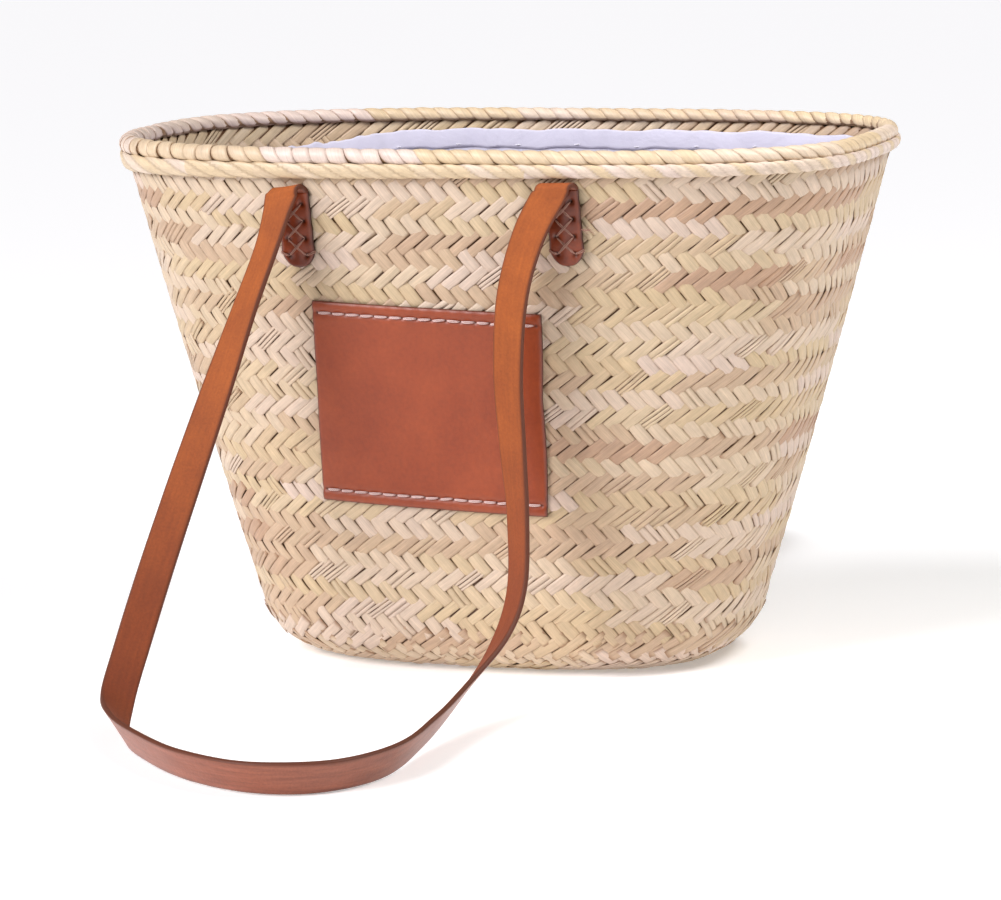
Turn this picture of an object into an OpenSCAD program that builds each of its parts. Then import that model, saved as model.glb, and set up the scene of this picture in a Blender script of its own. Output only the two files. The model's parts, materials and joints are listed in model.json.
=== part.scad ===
// Woven market basket of plaited palm leaf, with two long leather shoulder straps.
// Frame: X along the long side, the patch faces -Y, Z up. Origin: middle of the base, on the floor.
// All sizes are millimetres.

/* [Mouth] */
// Length of the mouth along X, over the wall
mouth_length = 472; // [380:1:580]
// Width of the mouth along Y, over the wall
mouth_width = 274; // [220:1:340]
// Squareness of the left half of the mouth, where 2 is an ellipse
mouth_squareness_left = 2.7; // [2:0.1:3.6]
// Squareness of the right half of the mouth
mouth_squareness_right = 3.3; // [2:0.1:3.6]

/* [Base] */
// Length of the base, where the wall lines meet the floor
base_length = 296; // [240:1:380]
// Width of the base, where the wall lines meet the floor
base_width = 186; // [140:1:240]
// Squareness of the base oval
base_squareness = 2.6; // [2:0.1:3.6]
// Radius of the turn from the base up into the wall
corner_radius = 30; // [15:1:40]
// Thickness of the plaited base
base_thickness = 5; // [3:0.5:8]

/* [Wall] */
// Height of the plaited wall, up to the core of the rim
wall_height = 314.5; // [240:0.5:400]
// Thickness of the plaited wall
wall_thickness = 5; // [3:0.5:8]
// How far the wall swells out at half its height
wall_bulge = 1.8; // [0:0.1:6]
// Gap between two courses of plait, where the sewing cord runs
seam_gap = 2; // [1:0.1:3]
// Diameter of the palm cord that sews two courses together
seam_cord_d = 1.8; // [0.8:0.1:2.8]

/* [Rim] */
// Diameter of the rush core of the rim
rim_core_d = 6; // [4:0.5:9]
// Diameter of the wrapped rim roll at its left end
rim_roll_d_left = 13; // [11:0.1:18]
// Diameter of the wrapped rim roll at its right end
rim_roll_d_right = 10.6; // [10:0.1:18]
// Height of the twisted cord under the roll at its left end
under_cord_h_left = 8.8; // [4:0.1:12]
// Height of the twisted cord under the roll at its right end
under_cord_h_right = 5.2; // [3:0.1:12]
// How far the twisted cord stands out from the wall
under_cord_depth = 4.4; // [2:0.1:7]

/* [Liner] */
// Thickness of the cotton liner
liner_thickness = 1; // [0.6:0.1:2]
// Depth of the liner's top edge below the top of the wall
liner_drop = 3; // [2:1:30]
// Height of the turned hem along the liner's top edge
hem_height = 12; // [6:1:25]
// Height of the tacking stitches above the hem's lower edge
liner_stitch_rise = 2; // [1:0.5:5]
// Length of a tacking stitch
liner_stitch_length = 3; // [2:0.5:6]
// Diameter of the tacking thread
liner_stitch_d = 0.7; // [0.4:0.1:1.2]
// Number of tacking stitches that hold the liner
liner_stitch_count = 30; // [12:1:48]

/* [Patch] */
// Width of the leather patch
patch_width = 144; // [80:1:180]
// Height of the leather patch
patch_height = 124; // [60:1:160]
// Height of the patch's middle above the floor
patch_middle = 167; // [120:1:200]
// Shift of the patch's middle along X
patch_shift = -8; // [-30:1:30]
// Turn of the patch on the wall, clockwise as seen from the front
patch_turn = 2; // [-5:0.5:5]
// Thickness of the patch leather
patch_thickness = 2.2; // [1:0.1:4]
// Distance of each stitch line from the patch's edge
patch_stitch_inset = 7; // [4:0.5:15]
// Number of stitches along each stitch line
patch_stitch_count = 15; // [6:1:24]

/* [Straps] */
// Width of the strap leather
strap_width = 21; // [12:0.5:30]
// Thickness of the strap leather
strap_thickness = 3.2; // [2:0.1:5]
// Distance of each strap's fold from the middle of the basket
fold_offset = 85; // [50:1:130]
// Gap between the left fold and the twisted cord above it
fold_drop_left = 2.5; // [0.5:0.1:30]
// Gap between the right fold and the twisted cord above it
fold_drop_right = 0.5; // [0.5:0.1:30]
// Length of the sewn strap end below the fold
tab_length = 46; // [30:1:80]
// Diameter of the rounded bend at the top of the sewn strap end
fold_d = 5; // [3.5:0.1:8]
// Lean of the strap where it stands on its edge on the floor
floor_lean = 27; // [0:1:50]

/* [Lacing] */
// Diameter of the lacing holes
hole_d = 1.8; // [1:0.1:3]
// Spacing of the two columns of holes
hole_column_pitch = 11; // [6:0.5:16]
// Spacing of the four rows of holes
hole_row_pitch = 10.5; // [7:0.5:16]
// Diameter of the lacing and stitching thread
thread_d = 1.1; // [0.6:0.1:2]

/* [Hidden] */
// Number of courses of plait in the wall
COURSES = 8;

// Segments round an oval
OVAL_SEGMENTS = 60;
// Clearance between two pieces that lie on each other
touch_gap = 0.3;
// Clearance of the strap round its fold
fold_gap = 0.4;
// Clearance of the sewn strap end behind its bend, where the wall curves
tab_standoff = 1.4;

// ---- The wall's shape ----

// Half of the length and half of the width of the outer wall at a height
function swell(z) = let (s = min(max(z / wall_height, 0), 1)) 4 * wall_bulge * s * (1 - s);
function half_length(z) = (base_length + (mouth_length - base_length) * z / wall_height) / 2 + swell(z);
function half_width(z) = (base_width + (mouth_width - base_width) * z / wall_height) / 2 + swell(z);
// Squareness of the oval at a height, on the left (side < 0) or the right
function squareness(side, z) =
  let (s = min(max(z / wall_height, 0), 1))
  base_squareness + ((side < 0 ? mouth_squareness_left : mouth_squareness_right) - base_squareness) * s;
function power(v, e) = sign(v) * pow(abs(v), e);
// A point on the oval at an angle: inset from the outline of height zs, drawn at height z
function oval(angle, inset, zs, z) =
  let (e = 2 / squareness(cos(angle), zs))
  [(half_length(zs) - inset) * power(cos(angle), e), (half_width(zs) - inset) * power(sin(angle), e), z];
// The y of the wall's front face at x and z
function front_y(x, z) =
  let (n = squareness(x, z))
  -half_width(z) * pow(1 - pow(abs(x) / half_length(z), n), 1 / n);
// Length of the wall's outline from the flat base to its top edge
corner_run = corner_radius * PI / 2;
wall_run = corner_run + wall_height - corner_radius;
// A point of the wall's section: [inset, z] at a run from the flat base and a depth into the wall
function section(run, depth) =
  let (turn = min(run / corner_radius * 180 / PI, 90), r = corner_radius - depth)
  run < corner_run
    ? [corner_radius - r * sin(turn), corner_radius - r * cos(turn)]
    : [depth, corner_radius + run - corner_run];
angles = [for (i = [0:OVAL_SEGMENTS - 1]) i * 360 / OVAL_SEGMENTS];

// ---- Sweeps ----

// A closed solid from rings of equal length; the rings close on each other or end in caps
module ring_solid(rings, closed) {
  m = len(rings[0]);
  last = len(rings) - 1;
  sides = [for (i = [0:closed ? last : last - 1]) for (j = [0:m - 1])
    let (i2 = (i + 1) % (last + 1), j2 = (j + 1) % m)
    each [[i * m + j, i2 * m + j, i2 * m + j2], [i * m + j, i2 * m + j2, i * m + j2]]];
  caps = closed ? [] : [[for (j = [0:m - 1]) j], [for (j = [m - 1:-1:0]) last * m + j]];
  polyhedron(points = [for (r = rings) each r], faces = concat(sides, caps), convexity = 6);
}

// A band round the oval from a closed list of [inset, z]
module oval_band(profile) {
  ring_solid([for (t = angles) [for (p = profile) oval(t, p[0], p[1], p[1])]], true);
}

// The profile of a band of the wall between two runs and two depths
function band_profile(run0, run1, depth0, depth1) =
  let (steps = run0 < corner_run ? 7 : 2)
  concat([for (i = [0:steps]) section(run0 + (run1 - run0) * i / steps, depth0)],
         [for (i = [steps:-1:0]) section(run0 + (run1 - run0) * i / steps, depth1)]);

// ---- Base, courses and the cords that sew them ----

course_pitch = wall_run / COURSES;

module flat_oval(grow, z0, thickness) {
  translate([0, 0, z0])
    linear_extrude(thickness)
      polygon([for (t = angles) let (p = oval(t, corner_radius - grow, 0, 0)) [p[0], p[1]]]);
}

module base_plait() {
  color("burlywood") flat_oval(-seam_gap / 2, 0, base_thickness);
}

module wall_course(k) {
  lower = (k - 1) * course_pitch + seam_gap / 2;
  upper = k * course_pitch - (k < COURSES ? seam_gap / 2 : 0);
  color(k % 2 == 0 ? "wheat" : "burlywood")
    oval_band(band_profile(lower, upper, 0, wall_thickness));
}

// Cord k lies in the gap below course k, in the middle of the wall's thickness
module seam_cord(k) {
  middle = section((k - 1) * course_pitch, wall_thickness / 2);
  color("tan")
    oval_band([for (a = [0:60:300]) middle + seam_cord_d / 2 * [-cos(a), sin(a)]]);
}

// ---- Rim ----

// Share of the way from the thick left end to the thin right end of the rim
function thick(x) = pow((1 - x / half_length(wall_height)) / 2, 2);
function roll_r(x) = (rim_roll_d_right + (rim_roll_d_left - rim_roll_d_right) * thick(x)) / 2;
function cord_h(x) = under_cord_h_right + (under_cord_h_left - under_cord_h_right) * thick(x);
core_gap = 0.2;
rim_top = wall_height + core_gap + rim_core_d / 2 + rim_roll_d_left / 2;
wrap_inner_r = rim_core_d / 2 + core_gap;
function cord_bottom(x) = rim_top - 2 * roll_r(x) - cord_h(x);
// Inset of the roll's centre from the wall's outline, and the slit that the wall comes up through
roll_inset = wall_thickness / 2 - 0.5;
slit_out = roll_inset + touch_gap;
lean_room = (mouth_length - base_length) / wall_height / 2 * rim_roll_d_left / 2;
slit_in = wall_thickness - roll_inset + touch_gap + lean_room;

module rim_core() {
  r = rim_core_d / 2;
  color("darkkhaki")
    ring_solid([for (t = angles)
      let (c = oval(t, roll_inset, wall_height, 0), z = rim_top - roll_r(c[0]))
      [for (a = [0:60:300]) oval(t, roll_inset - r * cos(a), wall_height, z + r * sin(a))]],
      true);
}

// Angles, from straight out, round a circle of radius r from the slit's outer edge to its inner one
wrap_steps = 10;
function slit_arc(r) =
  let (start = -acos(min(slit_out / r, 0.99)), end = 180 + acos(min(slit_in / r, 0.99)))
  [for (i = [0:wrap_steps]) start + (end - start) * i / wrap_steps];
function reversed(list) = [for (i = [len(list) - 1:-1:0]) list[i]];

module rim_wrap() {
  color("wheat")
    ring_solid([for (t = angles)
      let (c = oval(t, roll_inset, wall_height, 0), r = roll_r(c[0]), z = rim_top - r)
      concat(
        [for (a = slit_arc(r)) oval(t, roll_inset - r * cos(a), wall_height, z + r * sin(a))],
        [for (a = reversed(slit_arc(wrap_inner_r)))
          oval(t, roll_inset - wrap_inner_r * cos(a), wall_height, z + wrap_inner_r * sin(a))])],
      true);
}

module rim_under_cord() {
  color("wheat")
    ring_solid([for (t = angles)
      let (c = oval(t, 0, wall_height, 0), h = cord_h(c[0]), z = cord_bottom(c[0]) + h / 2)
      [for (a = [0:45:315])
        oval(t, -touch_gap - under_cord_depth / 2 * (1 + cos(a)), z, z + h / 2 * sin(a))]],
      true);
}

// ---- Liner ----

liner_depth = wall_thickness + touch_gap;
liner_run = wall_run - liner_drop;

module liner_base() {
  color("lavender") flat_oval(-seam_gap / 2, base_thickness + touch_gap, liner_thickness);
}

liner_runs = concat([for (i = [0:6]) seam_gap + (corner_run - seam_gap) * i / 6],
                    [(corner_run + liner_run) / 2, liner_run]);

module liner_wall() {
  color("lavender")
    oval_band(concat([for (run = liner_runs) section(run, liner_depth)],
                     [for (run = reversed(liner_runs)) section(run, liner_depth + liner_thickness)]));
}

hem_depth = liner_depth + liner_thickness + touch_gap;
hem_inner_depth = hem_depth + liner_thickness;

module liner_hem() {
  color("white")
    oval_band([section(liner_run - hem_height, hem_depth), section(liner_run, hem_depth),
               section(liner_run, hem_inner_depth), section(liner_run - hem_height, hem_inner_depth)]);
}

module liner_stitches() {
  color("white")
    for (i = [0:liner_stitch_count - 1]) {
      z = wall_height - liner_drop - hem_height + liner_stitch_rise;
      inset = hem_inner_depth + thread_d / 2 + touch_gap;
      turn = (i + 0.5) * 360 / liner_stitch_count;
      p = oval(turn, inset, z, z);
      q = oval(turn + 1, inset, z, z);
      translate(p)
        rotate([0, 0, atan2(q[1] - p[1], q[0] - p[0])]) rotate([0, 90, 0])
          cylinder(h = liner_stitch_length, d = liner_stitch_d, center = true, $fn = 16);
    }
}

// ---- Patch ----

patch_columns = 20;
patch_rows = 3;

// A point on the wall's front, stood off it, from its place on the turned patch: u across, v up
function on_patch(u, v, stand_off) =
  let (x = patch_shift + u * cos(patch_turn) + v * sin(patch_turn),
       z = patch_middle + v * cos(patch_turn) - u * sin(patch_turn))
  [x, front_y(x, z) - stand_off, z];
function patch_point(i, j, depth) =
  on_patch(patch_width * (i / patch_columns - 0.5), patch_height * (j / patch_rows - 0.5), touch_gap + depth);

// Each column is a ring: up the back face and down the front face
module patch() {
  color("sienna")
    ring_solid([for (i = [0:patch_columns])
      concat([for (j = [0:patch_rows]) patch_point(i, j, 0)],
             [for (j = [patch_rows:-1:0]) patch_point(i, j, patch_thickness)])],
      false);
}

module patch_stitches(v) {
  pitch = (patch_width - 6) / patch_stitch_count;
  color("thistle")
    for (i = [0:patch_stitch_count - 1]) {
      p = on_patch(pitch * (i + 0.5 - patch_stitch_count / 2), v,
                   2 * touch_gap + patch_thickness + thread_d / 2);
      slope = front_y(p[0] + 1, p[2]) - front_y(p[0] - 1, p[2]);
      translate(p)
        rotate([0, patch_turn, atan(slope / 2)]) rotate([0, 90, 0])
          cylinder(h = pitch * 0.68, d = thread_d, center = true, $fn = 20);
    }
}

module patch_top_stitches() {
  patch_stitches(patch_height / 2 - patch_stitch_inset);
}

module patch_bottom_stitches() {
  patch_stitches(patch_stitch_inset - patch_height / 2);
}

// ---- Strap folds and sewn ends ----

// The centre of a fold: on the front wall, under the twisted cord, clear of both
fold_reach = fold_d / 2 + fold_gap + strap_thickness;
function fold(side) =
  let (x = side * fold_offset, drop = side < 0 ? fold_drop_left : fold_drop_right,
       z = cord_bottom(x) - fold_reach - drop)
  [x, front_y(x, z) - tab_standoff - fold_d / 2, z];
left_fold = fold(-1);
right_fold = fold(1);
fold_line = right_fold - left_fold;
fold_tilt = -atan(fold_line[2] / fold_line[0]);
fold_yaw = atan(fold_line[1] / fold_line[0]);
wall_lean = atan((mouth_width - base_width) / 2 / wall_height);
first_hole_drop = 7;

// Puts a piece at a fold, with X along the fold axis and Z up along the wall
module at_fold(side) {
  translate(side < 0 ? left_fold : right_fold)
    rotate([0, fold_tilt, fold_yaw])
      rotate([wall_lean, 0, 0])
        children();
}

// The sewn end of a strap: a rounded tongue below a round bend, with two columns of holes
module tab(side) {
  back = fold_d / 2;
  color("saddlebrown")
    at_fold(side)
      difference() {
        union() {
          rotate([0, 90, 0]) cylinder(h = strap_width, d = fold_d, center = true, $fn = 48);
          translate([-strap_width / 2, back - strap_thickness, -tab_length + strap_width / 2])
            cube([strap_width, strap_thickness, tab_length - strap_width / 2]);
          translate([0, back, -tab_length + strap_width / 2])
            rotate([90, 0, 0]) cylinder(h = strap_thickness, d = strap_width, $fn = 48);
        }
        for (i = [0:3]) for (s = [-1, 1])
          translate([s * hole_column_pitch / 2, back + 1, -first_hole_drop - i * hole_row_pitch])
            rotate([90, 0, 0]) cylinder(h = strap_thickness + 2, d = hole_d, $fn = 24);
      }
}

// One straight run of thread on the front of a sewn end, between two points [x, z]
module thread_run(a, b, lift) {
  d = b - a;
  translate([a[0], fold_d / 2 - strap_thickness - thread_d / 2 - lift, a[1]])
    rotate([0, atan2(d[0], d[1]), 0])
      cylinder(h = norm(d), d = thread_d, $fn = 20);
}

// Crossed lacing from row to row, and a short wrap from each lowest hole over the edge
module lacing(side) {
  x = hole_column_pitch / 2;
  lift = 0.1;
  color("rosybrown")
    at_fold(side) {
      for (i = [0:2]) {
        top = -first_hole_drop - i * hole_row_pitch;
        thread_run([-x, top], [x, top - hole_row_pitch], lift);
        thread_run([x, top], [-x, top - hole_row_pitch], lift + thread_d);
      }
      low = -first_hole_drop - 3 * hole_row_pitch;
      thread_run([x, low], [strap_width / 2 - 0.5, low + 1.5], lift);
      thread_run([-x, low], [-strap_width / 2 + 0.5, low + 1.5], lift);
    }
}

// ---- Straps ----

// Height of the strap's middle where its lower edge stands on the floor
floor_rise = strap_width / 2 * cos(floor_lean) + strap_thickness / 2 * sin(floor_lean);
// Route of the strap's middle from the left fold to the right one:
// [x, gap in front of the wall, rise from the floor (0) to the fold (1), direction across the strap]
strap_route = [
  [-95, 19, 0.890, [0.88, -0.47, 0.10]],
  [-106, 35, 0.765, [0.90, -0.42, 0.10]],
  [-118, 59, 0.605, [0.98, -0.18, 0.05]],
  [-131, 86, 0.430, [1.00, 0.05, 0]],
  [-143, 114, 0.255, [0.97, 0.20, 0]],
  [-151, 140, 0.110, [0.92, 0.38, -0.10]],
  [-149, 172, 0.020, [0.78, 0.42, -0.48]],
  [-128, 218, 0, [0.46, 0.26, -0.85]],
  [-94, 260, 0, [0.34, 0.29, -0.89]],
  [-52, 296, 0, [0.23, 0.39, -0.89]],
  [-5, 314, 0, [0, 0.45, -0.89]],
  [35, 300, 0, [-0.36, 0.27, -0.89]],
  [54, 256, 0, [-0.45, 0, -0.89]],
  [52, 194, 0.006, [-0.50, 0, -0.86]],
  [50, 133, 0.035, [-0.60, 0.15, -0.78]],
  [56, 83, 0.105, [-0.72, 0.36, -0.55]],
  [60, 56, 0.200, [-0.74, 0.58, -0.32]],
  [58, 39, 0.338, [-0.78, 0.60, -0.10]],
  [55, 31, 0.483, [-0.88, 0.45, 0]],
  [54, 27, 0.638, [-0.94, 0.33, 0]],
  [58, 22, 0.793, [-0.97, 0.24, 0.05]],
  [68, 15, 0.917, [-0.97, 0.16, 0.15]]];

strap_start = [0, -(fold_d / 2 + fold_gap + strap_thickness / 2), 0];
fold_axis = fold_line / norm(fold_line);

function strap_point(r) =
  let (fold_z = (left_fold[2] + right_fold[2]) / 2, z = floor_rise + r[2] * (fold_z - floor_rise))
  [r[0], -half_width(z) - r[1], z];

strap_path = concat(
  [left_fold + strap_start],
  [for (r = strap_route) strap_point(r)],
  [right_fold + strap_start]);
strap_across = concat([fold_axis], [for (r = strap_route) r[3]], [-fold_axis]);

// A smooth curve through a list of points: its value at parameter u from 0 to len - 1
function at(list, i) = list[min(max(i, 0), len(list) - 1)];
function smooth(list, u) =
  let (i = min(floor(u), len(list) - 2), f = u - i, a = at(list, i - 1), b = at(list, i), c = at(list, i + 1),
       d = at(list, i + 2))
  b + f * (c - a) / 2 + f * f * (a - 2.5 * b + 2 * c - d / 2) + f * f * f * (-a + 3 * b - 3 * c + d) / 2;
function unit(v) = v / norm(v);

strap_steps = 3;

module strap() {
  last = (len(strap_path) - 1) * strap_steps;
  w = strap_width / 2;
  h = strap_thickness / 2;
  edge = 0.8;
  section_points = [[-w, h - edge], [-w + edge, h], [w - edge, h], [w, h - edge],
                    [w, edge - h], [w - edge, -h], [edge - w, -h], [-w, edge - h]];
  color("chocolate")
    ring_solid([for (i = [0:last])
      let (u = i / strap_steps, c = smooth(strap_path, u),
           t = i == 0 ? [0, 0, -1] : i == last ? [0, 0, 1]
             : unit(smooth(strap_path, u + 0.05) - smooth(strap_path, u - 0.05)),
           w0 = smooth(strap_across, u), across = unit(w0 - (w0 * t) * t), face = cross(t, across))
      [for (p = section_points) c + p[0] * across + p[1] * face]],
      false);
}

module at_rear() {
  mirror([0, 1, 0]) children();
}

base_plait();
for (k = [1:COURSES]) {
  wall_course(k);
  seam_cord(k);
}
rim_core();
rim_wrap();
rim_under_cord();
liner_base();
liner_wall();
liner_hem();
liner_stitches();
patch();
patch_top_stitches();
patch_bottom_stitches();
tab(-1);  // front_left_tab
tab(1);  // front_right_tab
at_rear() tab(-1);  // rear_left_tab
at_rear() tab(1);  // rear_right_tab
lacing(-1);  // front_left_lacing
lacing(1);  // front_right_lacing
at_rear() lacing(-1);  // rear_left_lacing
at_rear() lacing(1);  // rear_right_lacing
strap();  // front_strap
at_rear() strap();  // rear_strap
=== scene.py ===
import json
import math
import random

import bpy
import numpy as np
from mathutils import Matrix, Vector

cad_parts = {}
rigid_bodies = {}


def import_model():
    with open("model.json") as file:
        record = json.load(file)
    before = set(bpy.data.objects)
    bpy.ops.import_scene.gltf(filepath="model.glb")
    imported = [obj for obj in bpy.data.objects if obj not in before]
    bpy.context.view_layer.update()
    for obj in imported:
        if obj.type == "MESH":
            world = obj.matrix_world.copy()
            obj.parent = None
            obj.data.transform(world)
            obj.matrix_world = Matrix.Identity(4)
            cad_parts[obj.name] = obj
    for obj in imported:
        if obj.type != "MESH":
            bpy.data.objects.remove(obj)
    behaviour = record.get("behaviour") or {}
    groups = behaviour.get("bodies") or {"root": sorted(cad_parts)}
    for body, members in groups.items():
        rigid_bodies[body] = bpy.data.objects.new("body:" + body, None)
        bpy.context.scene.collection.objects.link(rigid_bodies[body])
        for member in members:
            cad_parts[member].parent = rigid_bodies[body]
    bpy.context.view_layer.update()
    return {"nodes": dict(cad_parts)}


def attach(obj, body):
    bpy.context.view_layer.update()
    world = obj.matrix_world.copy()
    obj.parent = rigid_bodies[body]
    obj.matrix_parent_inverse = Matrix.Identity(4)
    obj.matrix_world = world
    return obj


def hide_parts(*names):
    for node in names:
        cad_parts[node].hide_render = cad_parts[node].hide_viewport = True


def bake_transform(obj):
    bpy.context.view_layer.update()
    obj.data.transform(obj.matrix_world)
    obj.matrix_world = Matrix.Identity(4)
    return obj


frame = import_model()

MM = 0.001

# ---- Camera, floor and light ----
# A long lens looks at the patch side, a little from the right and from above.
# The basket stands on a wide white floor, under a soft sun from the left and two soft boxes.

camera_place = Vector((0.9393, -2.5837, 0.5754))
camera_target = Vector((0.0066, -0.0355, 0.1292))
camera_roll = math.radians(-1.4)

camera_lens = bpy.data.cameras.new("camera")
camera_lens.sensor_width = 36
camera_lens.lens = 161.4
camera_lens.clip_end = 40
camera = bpy.data.objects.new("camera", camera_lens)
bpy.context.collection.objects.link(camera)
camera.location = camera_place
camera_turn = (camera_target - camera_place).to_track_quat("-Z", "Y").to_matrix()
camera.rotation_euler = (camera_turn @ Matrix.Rotation(camera_roll, 3, "Z")).to_euler()
bpy.context.scene.camera = camera
bpy.context.scene.view_settings.view_transform = "Standard"


def dye(red, green, blue):
    """A colour as a swatch card names it, 0 to 255, turned into the light it gives back."""
    parts = [v / 255 for v in (red, green, blue)]
    return tuple(v / 12.92 if v <= 0.04045 else ((v + 0.055) / 1.055) ** 2.4 for v in parts) + (1,)


def node(tree, kind, inputs=None, **settings):
    """A node of a tree: its settings, and for each input a value or the socket that feeds it."""
    made = tree.nodes.new(kind)
    for name, value in settings.items():
        setattr(made, name, value)
    for key, value in (inputs or {}).items():
        if isinstance(value, bpy.types.NodeSocket):
            tree.links.new(value, made.inputs[key])
        else:
            made.inputs[key].default_value = value
    return made


def finish_of(name, roughness, sheen=0.0, coat=0.0):
    """A new material, its tree and its surface shader."""
    material = bpy.data.materials.new(name)
    material.use_nodes = True
    skin = material.node_tree.nodes["Principled BSDF"]
    skin.inputs["Roughness"].default_value = roughness
    skin.inputs["Sheen Weight"].default_value = sheen
    skin.inputs["Coat Weight"].default_value = coat
    return material, material.node_tree, skin


def fact_of(tree, name):
    """A number known at each point of the mesh."""
    return node(tree, "ShaderNodeAttribute", attribute_name=name).outputs["Fac"]


def noise(tree, place, scale, detail, **more):
    return node(tree, "ShaderNodeTexNoise",
                {"Vector": place, "Scale": scale, "Detail": detail, **more}).outputs["Fac"]


def ranged(tree, value, low, high, least=0.0, most=1.0):
    """A value stretched from one range to another and held inside it."""
    return node(tree, "ShaderNodeMapRange", {"Value": value, "From Min": low, "From Max": high,
                                             "To Min": least, "To Max": most}).outputs[0]


def mixed(tree, factor, first, second, **more):
    """A colour between two others."""
    return node(tree, "ShaderNodeMix", {"Factor": factor, 6: first, 7: second}, data_type="RGBA",
                **more).outputs[2]


def times(tree, first, second):
    return node(tree, "ShaderNodeMath", {0: first, 1: second}, operation="MULTIPLY").outputs[0]


def shaded(tree, colour, shade):
    """A colour made lighter or darker by a shade round 1."""
    return node(tree, "ShaderNodeVectorMath", {0: colour, "Scale": shade}, operation="SCALE").outputs[0]


def relief(tree, skin, *layers):
    """Fine relief in layers, each with its height, its strength and its depth in metres."""
    bump = None
    for height, strength, depth in layers:
        inputs = {"Height": height, "Strength": strength, "Distance": depth}
        if bump:
            inputs["Normal"] = bump
        bump = node(tree, "ShaderNodeBump", inputs).outputs[0]
    tree.links.new(bump, skin.inputs["Normal"])


def tube_faces(rings, sides, closed=False, backward=False, first=0):
    """Faces round a tube from rings of points, closed on itself or capped at both ends."""
    faces = []
    for i in range(rings if closed else rings - 1):
        here, beyond = first + i * sides, first + (i + 1) % rings * sides
        for j in range(sides):
            k = (j + 1) % sides
            faces.append((here + j, beyond + j, beyond + k, here + k) if backward
                         else (here + j, here + k, beyond + k, beyond + j))
    if not closed:
        start, end = tuple(range(first, first + sides)), tuple(range(beyond, beyond + sides))
        faces += [start, end[::-1]] if backward else [start[::-1], end]
    return faces


def piece_from(name, points, faces, material=None, facts=None, grain=None):
    """A mesh piece from points in millimetres, with what is known at each point and its grain map."""
    mesh = bpy.data.meshes.new(name)
    mesh.from_pydata([tuple(float(c) * MM for c in p) for p in points], [], faces)
    mesh.polygons.foreach_set("use_smooth", [True] * len(mesh.polygons))
    for fact, values in (facts or {}).items():
        layer = mesh.attributes.new(fact, "FLOAT", "POINT")
        layer.data.foreach_set("value", np.asarray(values, dtype=np.float32))
    if grain is not None:
        corners = np.empty(len(mesh.loops), dtype=np.int32)
        mesh.loops.foreach_get("vertex_index", corners)
        layer = mesh.uv_layers.new(name="grain")
        layer.data.foreach_set("uv", np.asarray(grain, dtype=np.float32)[corners].ravel())
    if material is not None:
        mesh.materials.append(material)
    mesh.validate()
    piece = bpy.data.objects.new(name, mesh)
    bpy.context.collection.objects.link(piece)
    return piece


floor_half, floor_drop = 40000, 0.4
floor_corners = [(x * floor_half, y * floor_half, -floor_drop) for x, y in ((-1, -1), (1, -1), (1, 1), (-1, 1))]
paper, _, paper_skin = finish_of("pale_floor", 0.9)
paper_skin.inputs["Base Color"].default_value = dye(249, 248, 247)
paper_skin.inputs["Emission Color"].default_value = (1, 1, 1, 1)
paper_skin.inputs["Emission Strength"].default_value = 0.26
piece_from("floor", floor_corners, [(0, 1, 2, 3)], paper)

world = bpy.data.worlds.new("studio")
world.use_nodes = True
sky = world.node_tree.nodes["Background"]
sky.inputs["Color"].default_value = (1, 0.99, 0.98, 1)
sky.inputs["Strength"].default_value = 0.17
bpy.context.scene.world = world


def lamp(name, kind, energy, aim, place=(0, 0, 0), **shape):
    """A lamp at a place that shines along a direction."""
    light = bpy.data.lights.new(name, kind)
    light.energy = energy
    for setting, value in shape.items():
        setattr(light, setting, value)
    holder = bpy.data.objects.new(name, light)
    bpy.context.collection.objects.link(holder)
    holder.location = place
    holder.rotation_euler = Vector(aim).to_track_quat("-Z", "Y").to_euler()


lamp("key_light", "SUN", 3.25, (0.55, 0.62, -0.56), angle=math.radians(38), color=(1, 1, 1.05))
top_place, soft_place = Vector((0.8, -0.15, 1.15)), Vector((-1.2, -2.2, 1.6))
lamp("top_box", "AREA", 12, Vector((-0.15, 0.05, 0.3)) - top_place, top_place, size=0.6)
lamp("soft_box", "AREA", 6, Vector((0, 0, 0.15)) - soft_place, soft_place, size=1.4)

# ---- Wall of plaited palm leaf ----
# Strips of palm leaf plaited in a herringbone, sewn edge to edge in a spiral with palm cord.
# Each course is a backing, dark brown as painted shade in the gaps between leaves, with the visible lengths of
# leaf laid over it one by one.

mouth_length, mouth_width = 472, 274
base_length, base_width = 296, 186
mouth_squareness = (2.7, 3.3)
base_squareness = 2.6
wall_height, wall_thickness, wall_bulge = 314.5, 5, 1.8
corner_radius = 30
seam_gap = 2
COURSES = 8
ROWS_IN_COURSE = 4
leaf_pitch = 11
steep_lean, flat_lean = math.radians(51), math.radians(37.3)

corner_run = corner_radius * math.pi / 2
wall_run = corner_run + wall_height - corner_radius
course_pitch = wall_run / COURSES
row_pitch = course_pitch / ROWS_IN_COURSE


def share(z):
    return np.clip(z / wall_height, 0, 1)


def swell_at(z):
    return 4 * wall_bulge * share(z) * (1 - share(z))


def half_length(z):
    return (base_length + (mouth_length - base_length) * z / wall_height) / 2 + swell_at(z)


def half_width(z):
    return (base_width + (mouth_width - base_width) * z / wall_height) / 2 + swell_at(z)


def squareness(x, z):
    mouth = np.where(np.asarray(x) < 0, mouth_squareness[0], mouth_squareness[1])
    return base_squareness + (mouth - base_squareness) * share(z)


def front_y(x, z):
    """The y of the wall's front face."""
    n = squareness(x, z)
    return -half_width(z) * (1 - (abs(x) / half_length(z)) ** n) ** (1 / n)


def section(run, depth):
    """The wall's section: inset from the outline and height, at a run up from the flat base."""
    turn = min(run / corner_radius, math.pi / 2)
    r = corner_radius - depth
    if run < corner_run:
        return corner_radius - r * math.sin(turn), corner_radius - r * math.cos(turn)
    return depth, corner_radius + run - corner_run


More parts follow.
